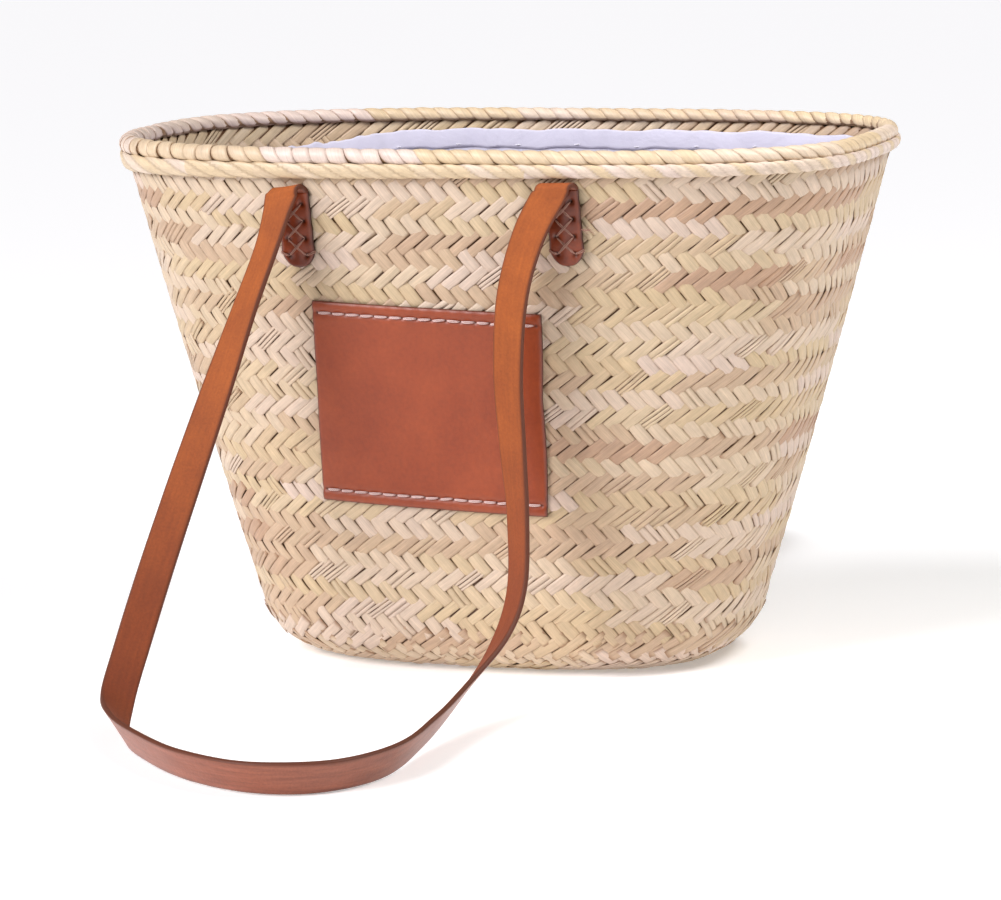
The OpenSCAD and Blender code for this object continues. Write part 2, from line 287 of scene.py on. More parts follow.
def oval_points(angle, inset, z):
    """x and y at angles of the oval of one height, inset from its outline."""
    e = 2 / squareness(np.cos(angle), z)
    x = (half_length(z) - inset) * np.sign(np.cos(angle)) * np.abs(np.cos(angle)) ** e
    y = (half_width(z) - inset) * np.sign(np.sin(angle)) * np.abs(np.sin(angle)) ** e
    return x, y


outlines = {}
OUTLINE_STEPS = 12000


def outline(inset, z):
    """The oval at a height as a dense line, with the distance along it, starting at +X."""
    key = (round(inset, 3), round(z, 3))
    if key not in outlines:
        x, y = oval_points(np.linspace(0, 2 * math.pi, OUTLINE_STEPS + 1), inset, z)
        gone = np.concatenate([[0], np.cumsum(np.hypot(np.diff(x), np.diff(y)))])
        outlines[key] = (x, y, gone)
    return outlines[key]


def on_oval(angle, inset, z_of_outline, z):
    """Points at angles of an oval: inset from the outline of one height, drawn at another."""
    x, y = oval_points(np.asarray(angle, float), inset, z_of_outline)
    return np.stack([x, y, np.broadcast_to(z, x.shape)], -1)


def even_angles(count):
    """Angles that space points evenly round the mouth."""
    gone = outline(0, wall_height)[2]
    return np.interp(np.arange(count) / count * gone[-1], gone, np.linspace(0, 2 * math.pi, len(gone)))


def round_oval(turns, inset, z_of_outline, z):
    """Points at shares of the way round an oval."""
    x, y, gone = outline(inset, z_of_outline)
    way = np.mod(turns, 1) * gone[-1]
    return np.stack([np.interp(way, gone, x), np.interp(way, gone, y), np.full(len(way), float(z))], 1)


def unit(v):
    return v / np.linalg.norm(v, axis=-1, keepdims=True)


def wall_seats(turns, run, depth):
    """Places on the wall, and at each the directions right, up and out, as seen from outside."""
    turns = np.asarray(turns, float)
    inset, z = section(run, depth)
    step = 0.002
    place = round_oval(turns, inset, z, z)
    right = unit(round_oval(turns + step, inset, z, z) - round_oval(turns - step, inset, z, z))
    low, high = section(max(run - 2, 0), depth), section(run + 2, depth)
    up = round_oval(turns, high[0], high[1], high[1]) - round_oval(turns, low[0], low[1], low[1])
    up = unit(up - right * np.sum(up * right, 1, keepdims=True))
    return place, right, up, np.cross(right, up)


def leaf_float(name, length, width, strips, crown, lift=0.2, sink=1.35, tuck=0.3):
    """One visible length of leaf, crowned across, its ends bending down under the leaves that cross it.
    strips holds the middle and the width of each part that the leaf is split into, as shares."""
    half = length * (0.5 + tuck)
    stations = (-1, -0.82, -0.6, -0.25, 0.25, 0.6, 0.82, 1)
    points, faces, sides, grain = [], [], [], []
    for middle, span in strips:
        start = len(points)
        across = (-1, -0.62, 0, 0.62, 1) if len(strips) == 1 else (-1, 0, 1)
        m = len(across) + 2
        under = 0.45
        for s in stations:
            height = lift - (lift + sink) * abs(s) ** 2.6
            for a in across:
                v = (middle + a * span / 2) * width
                points.append((s * half, v, height - crown * a * a * (1 if len(strips) == 1 else 0.5)))
                # The edge fact carries painted shade: high at the tucked ends, the long edges and the underside of
                # the leaf.
                sides.append(max(abs(s) ** 4, abs(a) ** 5 * 0.6))
                grain.append((s * half, v))
            for a in (1, -1):
                v = (middle + a * span / 2) * width
                points.append((s * half, v, height - crown - under))
                sides.append(1)
                grain.append((s * half, v))
        faces += tube_faces(len(stations), m, backward=True, first=start)
    return piece_from(name, points, faces, facts={"edge": sides}, grain=grain)


def kit_of(name, leaves):
    """A collection of small shapes kept out of the scene, for a tree to pick from by number."""
    kit = bpy.data.collections.new(name)
    for leaf in leaves:
        bpy.context.collection.objects.unlink(leaf)
        kit.objects.link(leaf)
    return kit


def seating_tree(name):
    """A tree that seats one shape from a kit at each point, turned to the point's own directions,
    varied a little in tilt and size, and laid over a backing."""
    tree = bpy.data.node_groups.new(name, "GeometryNodeTree")
    for socket, kind in (("Seats", "NodeSocketGeometry"), ("Kit", "NodeSocketCollection"),
                         ("Backing", "NodeSocketObject"), ("Tilt", "NodeSocketFloat"),
                         ("Size Variation", "NodeSocketFloat"), ("Seed", "NodeSocketInt"),
                         ("Finish", "NodeSocketMaterial")):
        tree.interface.new_socket(socket, in_out="INPUT", socket_type=kind)
    tree.interface.new_socket("Piece", in_out="OUTPUT", socket_type="NodeSocketGeometry")
    given = node(tree, "NodeGroupInput").outputs

    def fact(name, kind):
        return node(tree, "GeometryNodeInputNamedAttribute", {"Name": name}, data_type=kind).outputs["Attribute"]

    kit = node(tree, "GeometryNodeCollectionInfo",
               {"Collection": given["Kit"], "Separate Children": True, "Reset Children": True})
    facing = node(tree, "FunctionNodeAxesToRotation",
                  {"Primary Axis": fact("out", "FLOAT_VECTOR"), "Secondary Axis": fact("along", "FLOAT_VECTOR")},
                  primary_axis="Z", secondary_axis="X")
    least = node(tree, "ShaderNodeMath", {0: given["Tilt"], 1: -1.0}, operation="MULTIPLY")
    tilt = node(tree, "FunctionNodeRandomValue",
                {"Min": least.outputs[0], "Max": given["Tilt"], "Seed": given["Seed"]}, data_type="FLOAT_VECTOR")
    turned = node(tree, "FunctionNodeRotateRotation", {"Rotation": facing.outputs[0]}, rotation_space="LOCAL")
    tree.links.new(tilt.outputs["Value"], turned.inputs["Rotate By"])
    smallest = node(tree, "ShaderNodeMath", {0: 1.0, 1: given["Size Variation"]}, operation="SUBTRACT")
    largest = node(tree, "ShaderNodeMath", {0: 1.0, 1: given["Size Variation"]}, operation="ADD")
    other_seed = node(tree, "ShaderNodeMath", {0: given["Seed"], 1: 7.0}, operation="ADD")
    size = node(tree, "FunctionNodeRandomValue",
                {"Min": smallest.outputs[0], "Max": largest.outputs[0], "Seed": other_seed.outputs[0]},
                data_type="FLOAT_VECTOR")
    scale = node(tree, "ShaderNodeVectorMath", {0: size.outputs["Value"], 1: fact("size", "FLOAT_VECTOR")},
                 operation="MULTIPLY")
    seated = node(tree, "GeometryNodeInstanceOnPoints",
                  {"Points": given["Seats"], "Instance": kit.outputs[0], "Pick Instance": True,
                   "Instance Index": fact("pick", "INT"), "Rotation": turned.outputs[0],
                   "Scale": scale.outputs[0]})
    backing = node(tree, "GeometryNodeObjectInfo", {"Object": given["Backing"]})
    joined = node(tree, "GeometryNodeJoinGeometry", {"Geometry": seated.outputs[0]})
    tree.links.new(backing.outputs["Geometry"], joined.inputs["Geometry"])
    real = node(tree, "GeometryNodeRealizeInstances", {"Geometry": joined.outputs[0]})
    made = node(tree, "GeometryNodeSetMaterial", {"Geometry": real.outputs[0], "Material": given["Finish"]})
    node(tree, "NodeGroupOutput", {"Piece": made.outputs[0]})
    return tree


def seated_piece(name, tree, seats, **given):
    """Runs a seating tree on places in millimetres with their facts, and gives back the plain mesh."""
    mesh = bpy.data.meshes.new(name)
    mesh.from_pydata([tuple(p) for p in np.asarray(seats["place"]) * MM], [], [])
    for fact, values in seats.items():
        if fact == "place":
            continue
        values = np.asarray(values)
        whole = values.dtype.kind in "iu"
        kind = "FLOAT_VECTOR" if values.ndim == 2 else "INT" if whole else "FLOAT"
        layer = mesh.attributes.new(fact, kind, "POINT")
        layer.data.foreach_set("vector" if values.ndim == 2 else "value",
                               values.ravel().astype(np.int32 if whole else np.float32))
    holder = bpy.data.objects.new(name + "_seats", mesh)
    bpy.context.collection.objects.link(holder)
    grower = holder.modifiers.new(name, "NODES")
    grower.node_group = tree
    for socket in tree.interface.items_tree:
        if socket.in_out == "INPUT" and socket.name in given:
            grower[socket.identifier] = given[socket.name]
    view = bpy.context.evaluated_depsgraph_get()
    grown = bpy.data.meshes.new_from_object(holder.evaluated_get(view), preserve_all_data_layers=True,
                                            depsgraph=view)
    bpy.data.objects.remove(holder)
    for fact in ("out", "along", "size", "pick"):
        if fact in grown.attributes:
            grown.attributes.remove(grown.attributes[fact])
    grown.name = name
    piece = bpy.data.objects.new(name, grown)
    bpy.context.collection.objects.link(piece)
    return piece


def palm_leaf(name, hues, roughness=0.46, glow=1.0):
    """Dried palm leaf: its hue from the tone of each leaf, fine lengthwise fibres, and painted shade in the
    creases, where the edge fact is high.
    """
    material, tree, skin = finish_of(name, roughness)
    strand = fact_of(tree, "strand")
    hue = node(tree, "ShaderNodeValToRGB", {"Fac": fact_of(tree, "tone")})
    ramp = hue.color_ramp
    while len(ramp.elements) < len(hues):
        ramp.elements.new(0.5)
    for element, (place, colour) in zip(ramp.elements, hues):
        element.position = place
        element.color = dye(*colour)
    grain = node(tree, "ShaderNodeUVMap", uv_map="grain").outputs["UV"]
    own = node(tree, "ShaderNodeCombineXYZ", {0: strand, 1: strand, 2: strand}).outputs[0]
    own = node(tree, "ShaderNodeVectorMath", {0: own, 1: (31, 57, 83)}, operation="MULTIPLY").outputs[0]

    def lines(length, count, detail):
        long = node(tree, "ShaderNodeVectorMath", {0: grain, 1: (length, count, 0)}, operation="MULTIPLY")
        here = node(tree, "ShaderNodeVectorMath", {0: long.outputs[0], 1: own}, operation="ADD")
        return noise(tree, here.outputs[0], 1.0, detail, Roughness=0.6)

    fibres, streaks, clouds = lines(0.07, 2.4, 3.0), lines(0.035, 0.7, 2.0), lines(0.16, 0.16, 2.0)
    shade = times(tree, ranged(tree, fibres, 0.3, 0.7, 0.86, 1.06), ranged(tree, streaks, 0.3, 0.7, 0.9, 1.07))
    shade = times(tree, shade, ranged(tree, clouds, 0.3, 0.7, 0.94 * glow, 1.04 * glow))
    # Painted shade: where the edge fact is high, at leaf edges, tucked ends and undersides, the colour turns
    # towards a brown.
    crease_shade = ranged(tree, fact_of(tree, "edge"), 0.35, 1.0, 0.0, 0.74)
    colour = mixed(tree, crease_shade, shaded(tree, hue.outputs["Color"], shade), dye(138, 96, 62), clamp_result=True)
    tree.links.new(colour, skin.inputs["Base Color"])
    relief(tree, skin, (fibres, 0.5, 0.00025), (clouds, 0.5, 0.0009))
    return material


# Tone 0 is the dark brown of the backings: painted shade in the gaps between leaves.
plait_hues = [(0.0, (112, 74, 44)), (0.12, (196, 144, 110)), (0.32, (216, 175, 143)), (0.5, (230, 197, 164)),
              (0.66, (238, 209, 166)), (0.8, (246, 219, 187)), (1.0, (248, 221, 201))]
plait_finish = palm_leaf("plaited_palm", plait_hues, glow=0.69)

steep_length, steep_width = row_pitch / math.sin(steep_lean), row_pitch / 2 / math.sin(flat_lean)
flat_length, flat_width = row_pitch / math.sin(flat_lean), row_pitch / 2 / math.sin(steep_lean)
leaves = [
    leaf_float("leaf_a", steep_length, steep_width, [(0, 0.99)], 0.62),
    leaf_float("leaf_b", steep_length, steep_width, [(0.02, 0.95)], 0.75, lift=0.28),
    leaf_float("leaf_c", steep_length, steep_width, [(-0.22, 0.52), (0.27, 0.42)], 0.5),
    leaf_float("leaf_d", flat_length, flat_width, [(0, 0.98)], 0.34, lift=0.1),
    leaf_float("leaf_e", flat_length, flat_width, [(-0.03, 0.9)], 0.26, lift=0.05),
    leaf_float("leaf_f", flat_length, flat_width, [(-0.3, 0.38), (0.2, 0.56)], 0.2, lift=0.05),
    leaf_float("leaf_g", flat_length, flat_width, [(-0.34, 0.24), (-0.03, 0.3), (0.33, 0.28)], 0.2, lift=0.05),
]
leaf_kit = kit_of("leaves", leaves)
seating = seating_tree("seated_shapes")


def tones_in_runs(chance, count, palette):
    """A tone for each leaf of a row: runs of neighbours are cut from one dyed bundle."""
    tones = []
    while len(tones) < count:
        base = chance.choice(palette)
        tones += [base + chance.uniform(-0.035, 0.035) for _ in range(chance.randint(4, 10))]
    return tones[:count]


def backing_shade_facts(count, tone, edge):
    """The facts of a backing, the same at each of its points: a dark tone and an edge fact, painted shade where
    the backing shows between leaves.
    """
    return {"tone": [tone] * count, "strand": [0.5] * count, "edge": [edge] * count}


def band(name, insets_and_heights, tone, segments=120):
    """A closed ring of the wall from its profile, as the backing that leaves lie on, dark as painted shade between
    them.
    """
    turns = np.arange(segments) / segments
    rings = np.stack([round_oval(turns, inset, z, z) for inset, z in insets_and_heights], 1)
    points = rings.reshape(-1, 3)
    return piece_from(name, points, tube_faces(segments, len(insets_and_heights), closed=True, backward=True),
                      facts=backing_shade_facts(len(points), tone, 0.3), grain=[(p[2], 0.3 * p[0]) for p in points])


def leaf_row(rows, chance, row, depth, count, phase, inward=False, palette=None):
    """Seats one row of leaves: even rows lean like a backslash, odd rows like a slash."""
    steep = row % 2 == 0
    pair = row // 2
    offset = pair * 2 * row_pitch / math.tan(flat_lean)
    if not steep:
        offset += row_pitch * (1.25 / math.tan(flat_lean) + 0.25 / math.tan(steep_lean))
    drift = [chance.uniform(-0.03, 0.03) for _ in range(count)]
    turns = (np.arange(count) + np.array(drift) + offset / leaf_pitch + phase) / count
    if inward:
        turns = -turns
    run = (row + 0.5) * row_pitch
    place, right, up, out = wall_seats(turns, run, depth)
    if inward:
        right, out = -right, -out
    lean = steep_lean if steep else flat_lean
    along = right * math.cos(lean) + up * math.sin(lean) * (-1 if steep else 1)
    across = np.linalg.norm(wall_seats(turns + 1 / count, run, depth)[0] - place, axis=1) / leaf_pitch
    tones = tones_in_runs(chance, count, palette or (STEEP_TONES if steep else FLAT_TONES))
    picks = chance.choices((0, 1, 2), (60, 34, 6), k=count) if steep \
        else chance.choices((3, 4, 5, 6), (52, 30, 10, 8), k=count)
    rows["place"].append(place)
    rows["out"].append(out)
    rows["along"].append(along)
    rows["size"].append(np.stack([(1 + across) / 2, across, np.ones(count)], 1))
    rows["tone"].append(tones)
    rows["strand"].append([chance.random() for _ in range(count)])
    rows["pick"].append(np.array(picks, dtype=np.int32))


STEEP_TONES = (0.82, 0.8, 0.78, 0.72, 0.66, 0.9, 0.98, 1.0, 0.62, 0.5)
FLAT_TONES = (0.5, 0.44, 0.56, 0.62, 0.78, 0.34, 0.88, 0.5, 0.95, 0.7, 0.9)
backing_depth = 1.5
for course in range(1, COURSES + 1):
    chance = random.Random(400 + course)
    lower = (course - 1) * course_pitch + seam_gap / 2
    upper = course * course_pitch - (seam_gap / 2 if course < COURSES else 0)
    steps = 8 if lower < corner_run else 3
    runs = np.linspace(lower, upper, steps)
    profile = [section(run, backing_depth) for run in runs]
    inner_face = wall_thickness - (1.6 if course == COURSES else 0.2)
    profile += [section(run, inner_face) for run in reversed(runs)]
    # The backing's tone of 0.02 gives it the dark brown of painted shade, seen in the gaps between leaves.
    backing = band(f"course_backing_{course}", profile, 0.02)
    inset, z = section((lower + upper) / 2, 0)
    count = round(outline(inset, z)[2][-1] / leaf_pitch)
    rows = {key: [] for key in ("place", "out", "along", "size", "tone", "strand", "pick")}
    phase = chance.random()
    for row in range((course - 1) * ROWS_IN_COURSE, course * ROWS_IN_COURSE):
        leaf_row(rows, chance, row, 0.05, count, phase)
        if course == COURSES:
            leaf_row(rows, chance, row, wall_thickness - 0.2, count, phase + 0.4, inward=True,
                     palette=(0.46, 0.55, 0.64, 0.7, 0.8))
    piece = seated_piece(f"plait_course_{course}", seating, {k: np.concatenate(v) for k, v in rows.items()},
                         **{"Kit": leaf_kit, "Backing": backing, "Tilt": 0.05, "Size Variation": 0.04,
                            "Seed": course, "Finish": plait_finish})
    for vertex in piece.data.vertices:
        vertex.co.z = max(vertex.co.z, 0.0)
    bpy.data.objects.remove(backing)
    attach(piece, "basket")
    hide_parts(f"wall_course_{course}")

# ---- Base ----
# The same plait, sewn round and round in a flat oval. The leaves face the floor.

base_thickness = 5
plate = [(corner_radius + seam_gap / 2, base_thickness), (corner_radius + seam_gap / 2, 1.2)]
base_rows = {key: [] for key in ("place", "out", "along", "size", "tone", "strand", "pick")}
chance = random.Random(77)
segments = 120
turns = np.arange(segments) / segments
rim_low = round_oval(turns, plate[1][0], 0, 1.2)
rim_high = round_oval(turns, plate[0][0], 0, base_thickness)
plate_points = np.concatenate([rim_low, rim_high])
plate_faces = [tuple(reversed(range(segments))), tuple(range(segments, 2 * segments))]
plate_faces += [(i, (i + 1) % segments, segments + (i + 1) % segments, segments + i) for i in range(segments)]
# Dark tone as painted shade in the gaps between the base's leaves.
base_backing = piece_from("base_backing", plate_points, plate_faces,
                          facts=backing_shade_facts(2 * segments, 0.02, 0.3),
                          grain=[(p[0], p[1]) for p in plate_points])
for row in range(6):
    inset = corner_radius + (row + 0.5) * row_pitch
    way = outline(inset, 0)[2][-1]
    count = max(8, round(way / leaf_pitch))
    turns = (np.arange(count) + chance.random()) / count
    place = round_oval(turns, inset, 0, 0.35)
    right = unit(round_oval(turns + 0.004, inset, 0, 0) - round_oval(turns - 0.004, inset, 0, 0))
    down = np.tile([0.0, 0.0, -1.0], (count, 1))
    steep = row % 2 == 0
    lean = steep_lean if steep else flat_lean
    upward = np.cross(down, right)
    base_rows["place"].append(place)
    base_rows["out"].append(down)
    base_rows["along"].append(right * math.cos(lean) + upward * math.sin(lean) * (-1 if steep else 1))
    base_rows["size"].append(np.tile([1.0, 1.0, 0.8], (count, 1)))
    base_rows["tone"].append(tones_in_runs(chance, count, STEEP_TONES if steep else FLAT_TONES))
    base_rows["strand"].append([chance.random() for _ in range(count)])
    base_rows["pick"].append(np.array([0 if steep else 3] * count, dtype=np.int32))
base_piece = seated_piece("plaited_base", seating, {k: np.concatenate(v) for k, v in base_rows.items()},
                          **{"Kit": leaf_kit, "Backing": base_backing, "Tilt": 0.03, "Size Variation": 0.04,
                             "Seed": 9, "Finish": plait_finish})
for vertex in base_piece.data.vertices:
    vertex.co.z = max(vertex.co.z, 0.0)
bpy.data.objects.remove(base_backing)
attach(base_piece, "basket")
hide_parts("base_plait")

# ---- Sewing cords and the core of the rim ----
# Two-ply palm cord runs between the courses. The rim's core is a bundle of rush stems.


def cord_finish(name, light, dark, twist):
    """A twisted fibre cord: slanting plies with fine hairs along them, and painted shade in the low grooves
    between the plies.
    """
    material, tree, skin = finish_of(name, 0.72)
    place = node(tree, "ShaderNodeTexCoord").outputs["Object"]
    plies = node(tree, "ShaderNodeTexWave", {"Vector": place, "Scale": twist, "Distortion": 1.2, "Detail": 2.0},
                 bands_direction="DIAGONAL").outputs["Fac"]
    height = times(tree, plies, noise(tree, place, 900.0, 3.0))
    # Painted shade: the colour turns to the dark one where the relief is low, in the grooves between the plies.
    tree.links.new(mixed(tree, height, dye(*dark), dye(*light)), skin.inputs["Base Color"])
    relief(tree, skin, (height, 0.6, 0.0004))
    return material


sewing_cord = cord_finish("sewing_cord", (214, 184, 140), (140, 104, 66), 260.0)
rush_stems = cord_finish("rush_stems", (198, 178, 122), (112, 92, 52), 180.0)
cord_finishes = {f"seam_cord_{course}": sewing_cord for course in range(1, COURSES + 1)}
cord_finishes["rim_core"] = rush_stems
for name, finish in cord_finishes.items():
    frame["nodes"][name].data.materials.clear()
    frame["nodes"][name].data.materials.append(finish)

# ---- Wrapped roll of the rim ----
# Broad strips of leaf wound round the rush core in a slanting spiral, over the wall's top edge.
# It is thick at the left end and thin at the right.

roll_d_left, roll_d_right = 13, 10.6
core_d = 6
core_gap, touch_gap = 0.2, 0.3
roll_inset = wall_thickness / 2 - 0.5
rim_top = wall_height + core_gap + core_d / 2 + roll_d_left / 2
ROLL_WRAPS, ROLL_RINGS = 112, 240
kit_wrap_r, kit_wrap_pitch = 6.0, 11


def thick(x):
    return ((1 - x / half_length(wall_height)) / 2) ** 2


def roll_r(x):
    return (roll_d_right + (roll_d_left - roll_d_right) * thick(x)) / 2


def leaf_wrap(name, lean, crown):
    """One turn of leaf over the roll, from the wall outside to the wall inside, leaning as it rises."""
    width, first, last, steps = 12.3, -64, 212, 10
    middle, sweep = (first + last) / 2, (last - first) / 2
    across = (-1, -0.55, 0, 0.55, 1)
    points, sides, grain = [], [], []
    m = len(across) + 2
    for i in range(steps + 1):
        angle = first + (last - first) * i / steps
        shift = -lean * (angle - middle) / sweep
        tuck = 0.5 if i in (0, steps) else 0
        for a in across + (1, -1):
            inner = len(points) % m >= len(across)
            here = kit_wrap_r - 0.25 - crown * a * a + 0.28 * a - tuck - (0.7 if inner else 0)
            points.append((shift + a * width / 2, here * math.sin(math.radians(angle)),
                           here * math.cos(math.radians(angle))))
            # The edge fact carries painted shade: high on the underside, at the long edges and at the tucked ends
            # of the wrap.
            sides.append(1 if inner else max(abs(a) ** 5 * 0.6, (abs(angle - middle) / sweep) ** 10))
            grain.append((math.radians(angle) * kit_wrap_r, a * width / 2))
    return piece_from(name, points, tube_faces(steps + 1, m), facts={"edge": sides}, grain=grain)


wrap_kit = kit_of("wraps", [leaf_wrap("wrap_a", 1.5, 0.5), leaf_wrap("wrap_b", 5, 0.6),
                            leaf_wrap("wrap_c", 8.5, 0.8), leaf_wrap("wrap_d", 10, 1.0)])
# Tone 0 is the dark brown of the roll's backing: painted shade in the gaps between wraps.
wrap_hues = [(0.0, (140, 100, 62)), (0.2, (220, 186, 152)), (0.45, (240, 212, 182)), (0.65, (244, 216, 176)),
             (0.82, (250, 226, 200)), (1.0, (252, 228, 214))]
wrap_finish = palm_leaf("wrapped_palm", wrap_hues, 0.42, glow=0.77)
chance = random.Random(21)
turns = (np.arange(ROLL_WRAPS) + 0.5) / ROLL_WRAPS
place = round_oval(turns, roll_inset, wall_height, 0)
right = unit(round_oval(turns + 0.002, roll_inset, wall_height, 0)
             - round_oval(turns - 0.002, roll_inset, wall_height, 0))
up = np.tile([0.0, 0.0, 1.0], (ROLL_WRAPS, 1))
radius = roll_r(place[:, 0])
place[:, 2] = rim_top - radius
spacing = outline(roll_inset, wall_height)[2][-1] / ROLL_WRAPS
picks = []
for x, y, z in place:
    if y < 0 and x < -0.6 * half_length(wall_height):
        picks.append(chance.choice((0, 0, 1)))
    elif y < 0 and x < 0:
        picks.append(chance.choice((1, 2, 2)))
    else:
        picks.append(chance.choice((2, 3, 3)) if y < 0 else 3)
roll_backing_rings = []
for t in even_angles(ROLL_RINGS):
    r_here = roll_r(on_oval(t, roll_inset, wall_height, 0)[0])
    ring_at = []
    for r, sweep in ((r_here - 1.5, (-52, 205)), (core_d / 2 + core_gap, (205, -52))):
        a = np.radians(np.linspace(*sweep, 12))
        ring_at.append(on_oval(np.full(12, t), roll_inset - r * np.cos(a), wall_height,
                               rim_top - r_here + r * np.sin(a)))
    roll_backing_rings.append(np.concatenate(ring_at))
roll_points = np.array(roll_backing_rings).reshape(-1, 3)
# The roll's backing has a dark tone, painted shade in the gaps between the wraps.
roll_backing = piece_from("roll_backing", roll_points,
                          tube_faces(ROLL_RINGS, len(roll_points) // ROLL_RINGS, closed=True),
                          facts=backing_shade_facts(len(roll_points), 0.05, 0.4),
                          grain=[(p[0], p[2]) for p in roll_points])
wraps = {"place": place, "out": np.cross(right, up), "along": right,
         "size": np.stack([np.full(ROLL_WRAPS, spacing / kit_wrap_pitch), radius / kit_wrap_r,
                           radius / kit_wrap_r], 1),
         "tone": tones_in_runs(chance, ROLL_WRAPS, (0.8, 0.7, 0.66, 0.85, 0.95, 0.55, 1.0, 0.45)),
         "strand": [chance.random() for _ in range(ROLL_WRAPS)],
         "pick": np.array(picks, dtype=np.int32)}
roll = seated_piece("wrapped_roll", seating, wraps,
                    **{"Kit": wrap_kit, "Backing": roll_backing, "Tilt": 0.035, "Size Variation": 0.025,
                       "Seed": 3, "Finish": wrap_finish})
bpy.data.objects.remove(roll_backing)
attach(roll, "basket")
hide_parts("rim_wrap")

# ---- Twisted cord under the roll ----
# Three plies of leaf twisted together lie against the wall under the roll, thick at the left.

cord_h_left, cord_h_right, cord_depth = 8.8, 5.2, 4.4
PLIES = 3
CORD_RINGS, CORD_SIDES, TONES_IN_PLY = 1400, 16, 90


def cord_h(x):
    return cord_h_right + (cord_h_left - cord_h_right) * thick(x)


def cord_bottom(x):
    return rim_top - 2 * roll_r(x) - cord_h(x)


chance = random.Random(5)
ply_tones = [tones_in_runs(chance, TONES_IN_PLY, (0.8, 0.72, 0.66, 0.86, 0.6, 0.95)) for _ in range(PLIES)]
cord_way = outline(0, wall_height)[2][-1]
cord_angles = even_angles(CORD_RINGS)
cord_x = on_oval(cord_angles, 0, wall_height, 0)[:, 0]
lay = 26 + 40 * thick(cord_x)
twists = np.concatenate([[0], np.cumsum(cord_way / CORD_RINGS / lay)])
twists = twists[:-1] * round(twists[-1]) / twists[-1]
around = 2 * math.pi * np.arange(CORD_SIDES) / CORD_SIDES
wave = PLIES * (around[None, :] + 2 * math.pi * twists[:, None])
swell = 0.5 + 0.5 * np.cos(wave)
lobe = 0.92 + 0.16 * swell ** 0.6
cord_middle_z = cord_bottom(cord_x) + cord_h(cord_x) / 2 + 1.2
cord_z = cord_middle_z[:, None] + (cord_h(cord_x)[:, None] / 2 + 1.1) * lobe * np.sin(around)
cord_inset = -touch_gap - cord_depth / 2 - cord_depth / 2 * lobe * np.cos(around)
cord_points = on_oval(np.repeat(cord_angles[:, None], CORD_SIDES, 1), cord_inset, cord_z, cord_z).reshape(-1, 3)
plies = np.floor((around[None, :] / (2 * math.pi) + twists[:, None] + 0.5 / PLIES) * PLIES).astype(int) % PLIES
lengths = np.floor(twists * 2).astype(int) % TONES_IN_PLY
cord_tones = np.array(ply_tones)[plies, lengths[:, None]].ravel()
# Painted shade: the edge fact is high in the grooves between the plies, where the finish turns the colour dark.
cord_groove_shade = ((1 - swell) ** 3 * 0.62).ravel()
cord_strands = (plies / PLIES).ravel()
cord_grain = np.stack([np.repeat(np.arange(CORD_RINGS)[:, None], CORD_SIDES, 1) * cord_way / CORD_RINGS,
                       wave * 1.2], -1).reshape(-1, 2)
under_cord = piece_from("twisted_cord", cord_points,
                        tube_faces(CORD_RINGS, CORD_SIDES, closed=True, backward=True), wrap_finish,
                        facts={"tone": cord_tones, "strand": cord_strands, "edge": cord_groove_shade},
                        grain=cord_grain)
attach(under_cord, "basket")
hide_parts("rim_under_cord")

# ---- Cotton liner ----
# A plain white cotton bag, hemmed at its mouth and tacked to the wall under the rim.

liner_thickness, liner_drop, hem_height = 1.0, 3, 12
liner_depth = wall_thickness + touch_gap
liner_run = wall_run - liner_drop
LINER_COLUMNS = 480


def cloth_finish(name, colour, shadow):
    """Fine plain-weave cotton with soft creases."""
    material, tree, skin = finish_of(name, 0.88, sheen=0.25)
    place = node(tree, "ShaderNodeTexCoord").outputs["Object"]
    weave = noise(tree, place, 1500.0, 2.0)
    creases = noise(tree, place, 22.0, 5.0, Distortion=0.8)
    tree.links.new(mixed(tree, creases, dye(*shadow), dye(*colour)), skin.inputs["Base Color"])
    relief(tree, skin, (weave, 0.35, 0.0003), (creases, 0.6, 0.004))
    return material


cotton = cloth_finish("cotton", (206, 202, 216), (192, 188, 204))


def left_end(x):
    """1 at the left end of the basket, fading to 0 a third of the way along."""
    return float(np.clip((-x / half_length(wall_height) - 0.42) / 0.5, 0, 1)) ** 1.2


def liner_edge(x, turn):
    """How far the liner's top edge hangs below its highest line."""
    wave = 0.5 * math.sin(turn * 19) + 0.35 * math.sin(turn * 37 + 1) + 0.15 * math.sin(turn * 71)
    fray = (1.2 * math.sin(turn * 83) + 0.9 * math.sin(turn * 131 + 2)) * left_end(x)
    return 1.1 + wave + fray + 15 * left_end(x)


def slack(turn, level):
    """How far the cloth stands off the wall, in soft upright folds."""
    folds = math.sin(turn * 47 + 2 * math.sin(turn * 17)) + 0.7 * math.sin(turn * 29 + level * 3)
    return 1.0 + 0.4 * folds * (0.4 + level)


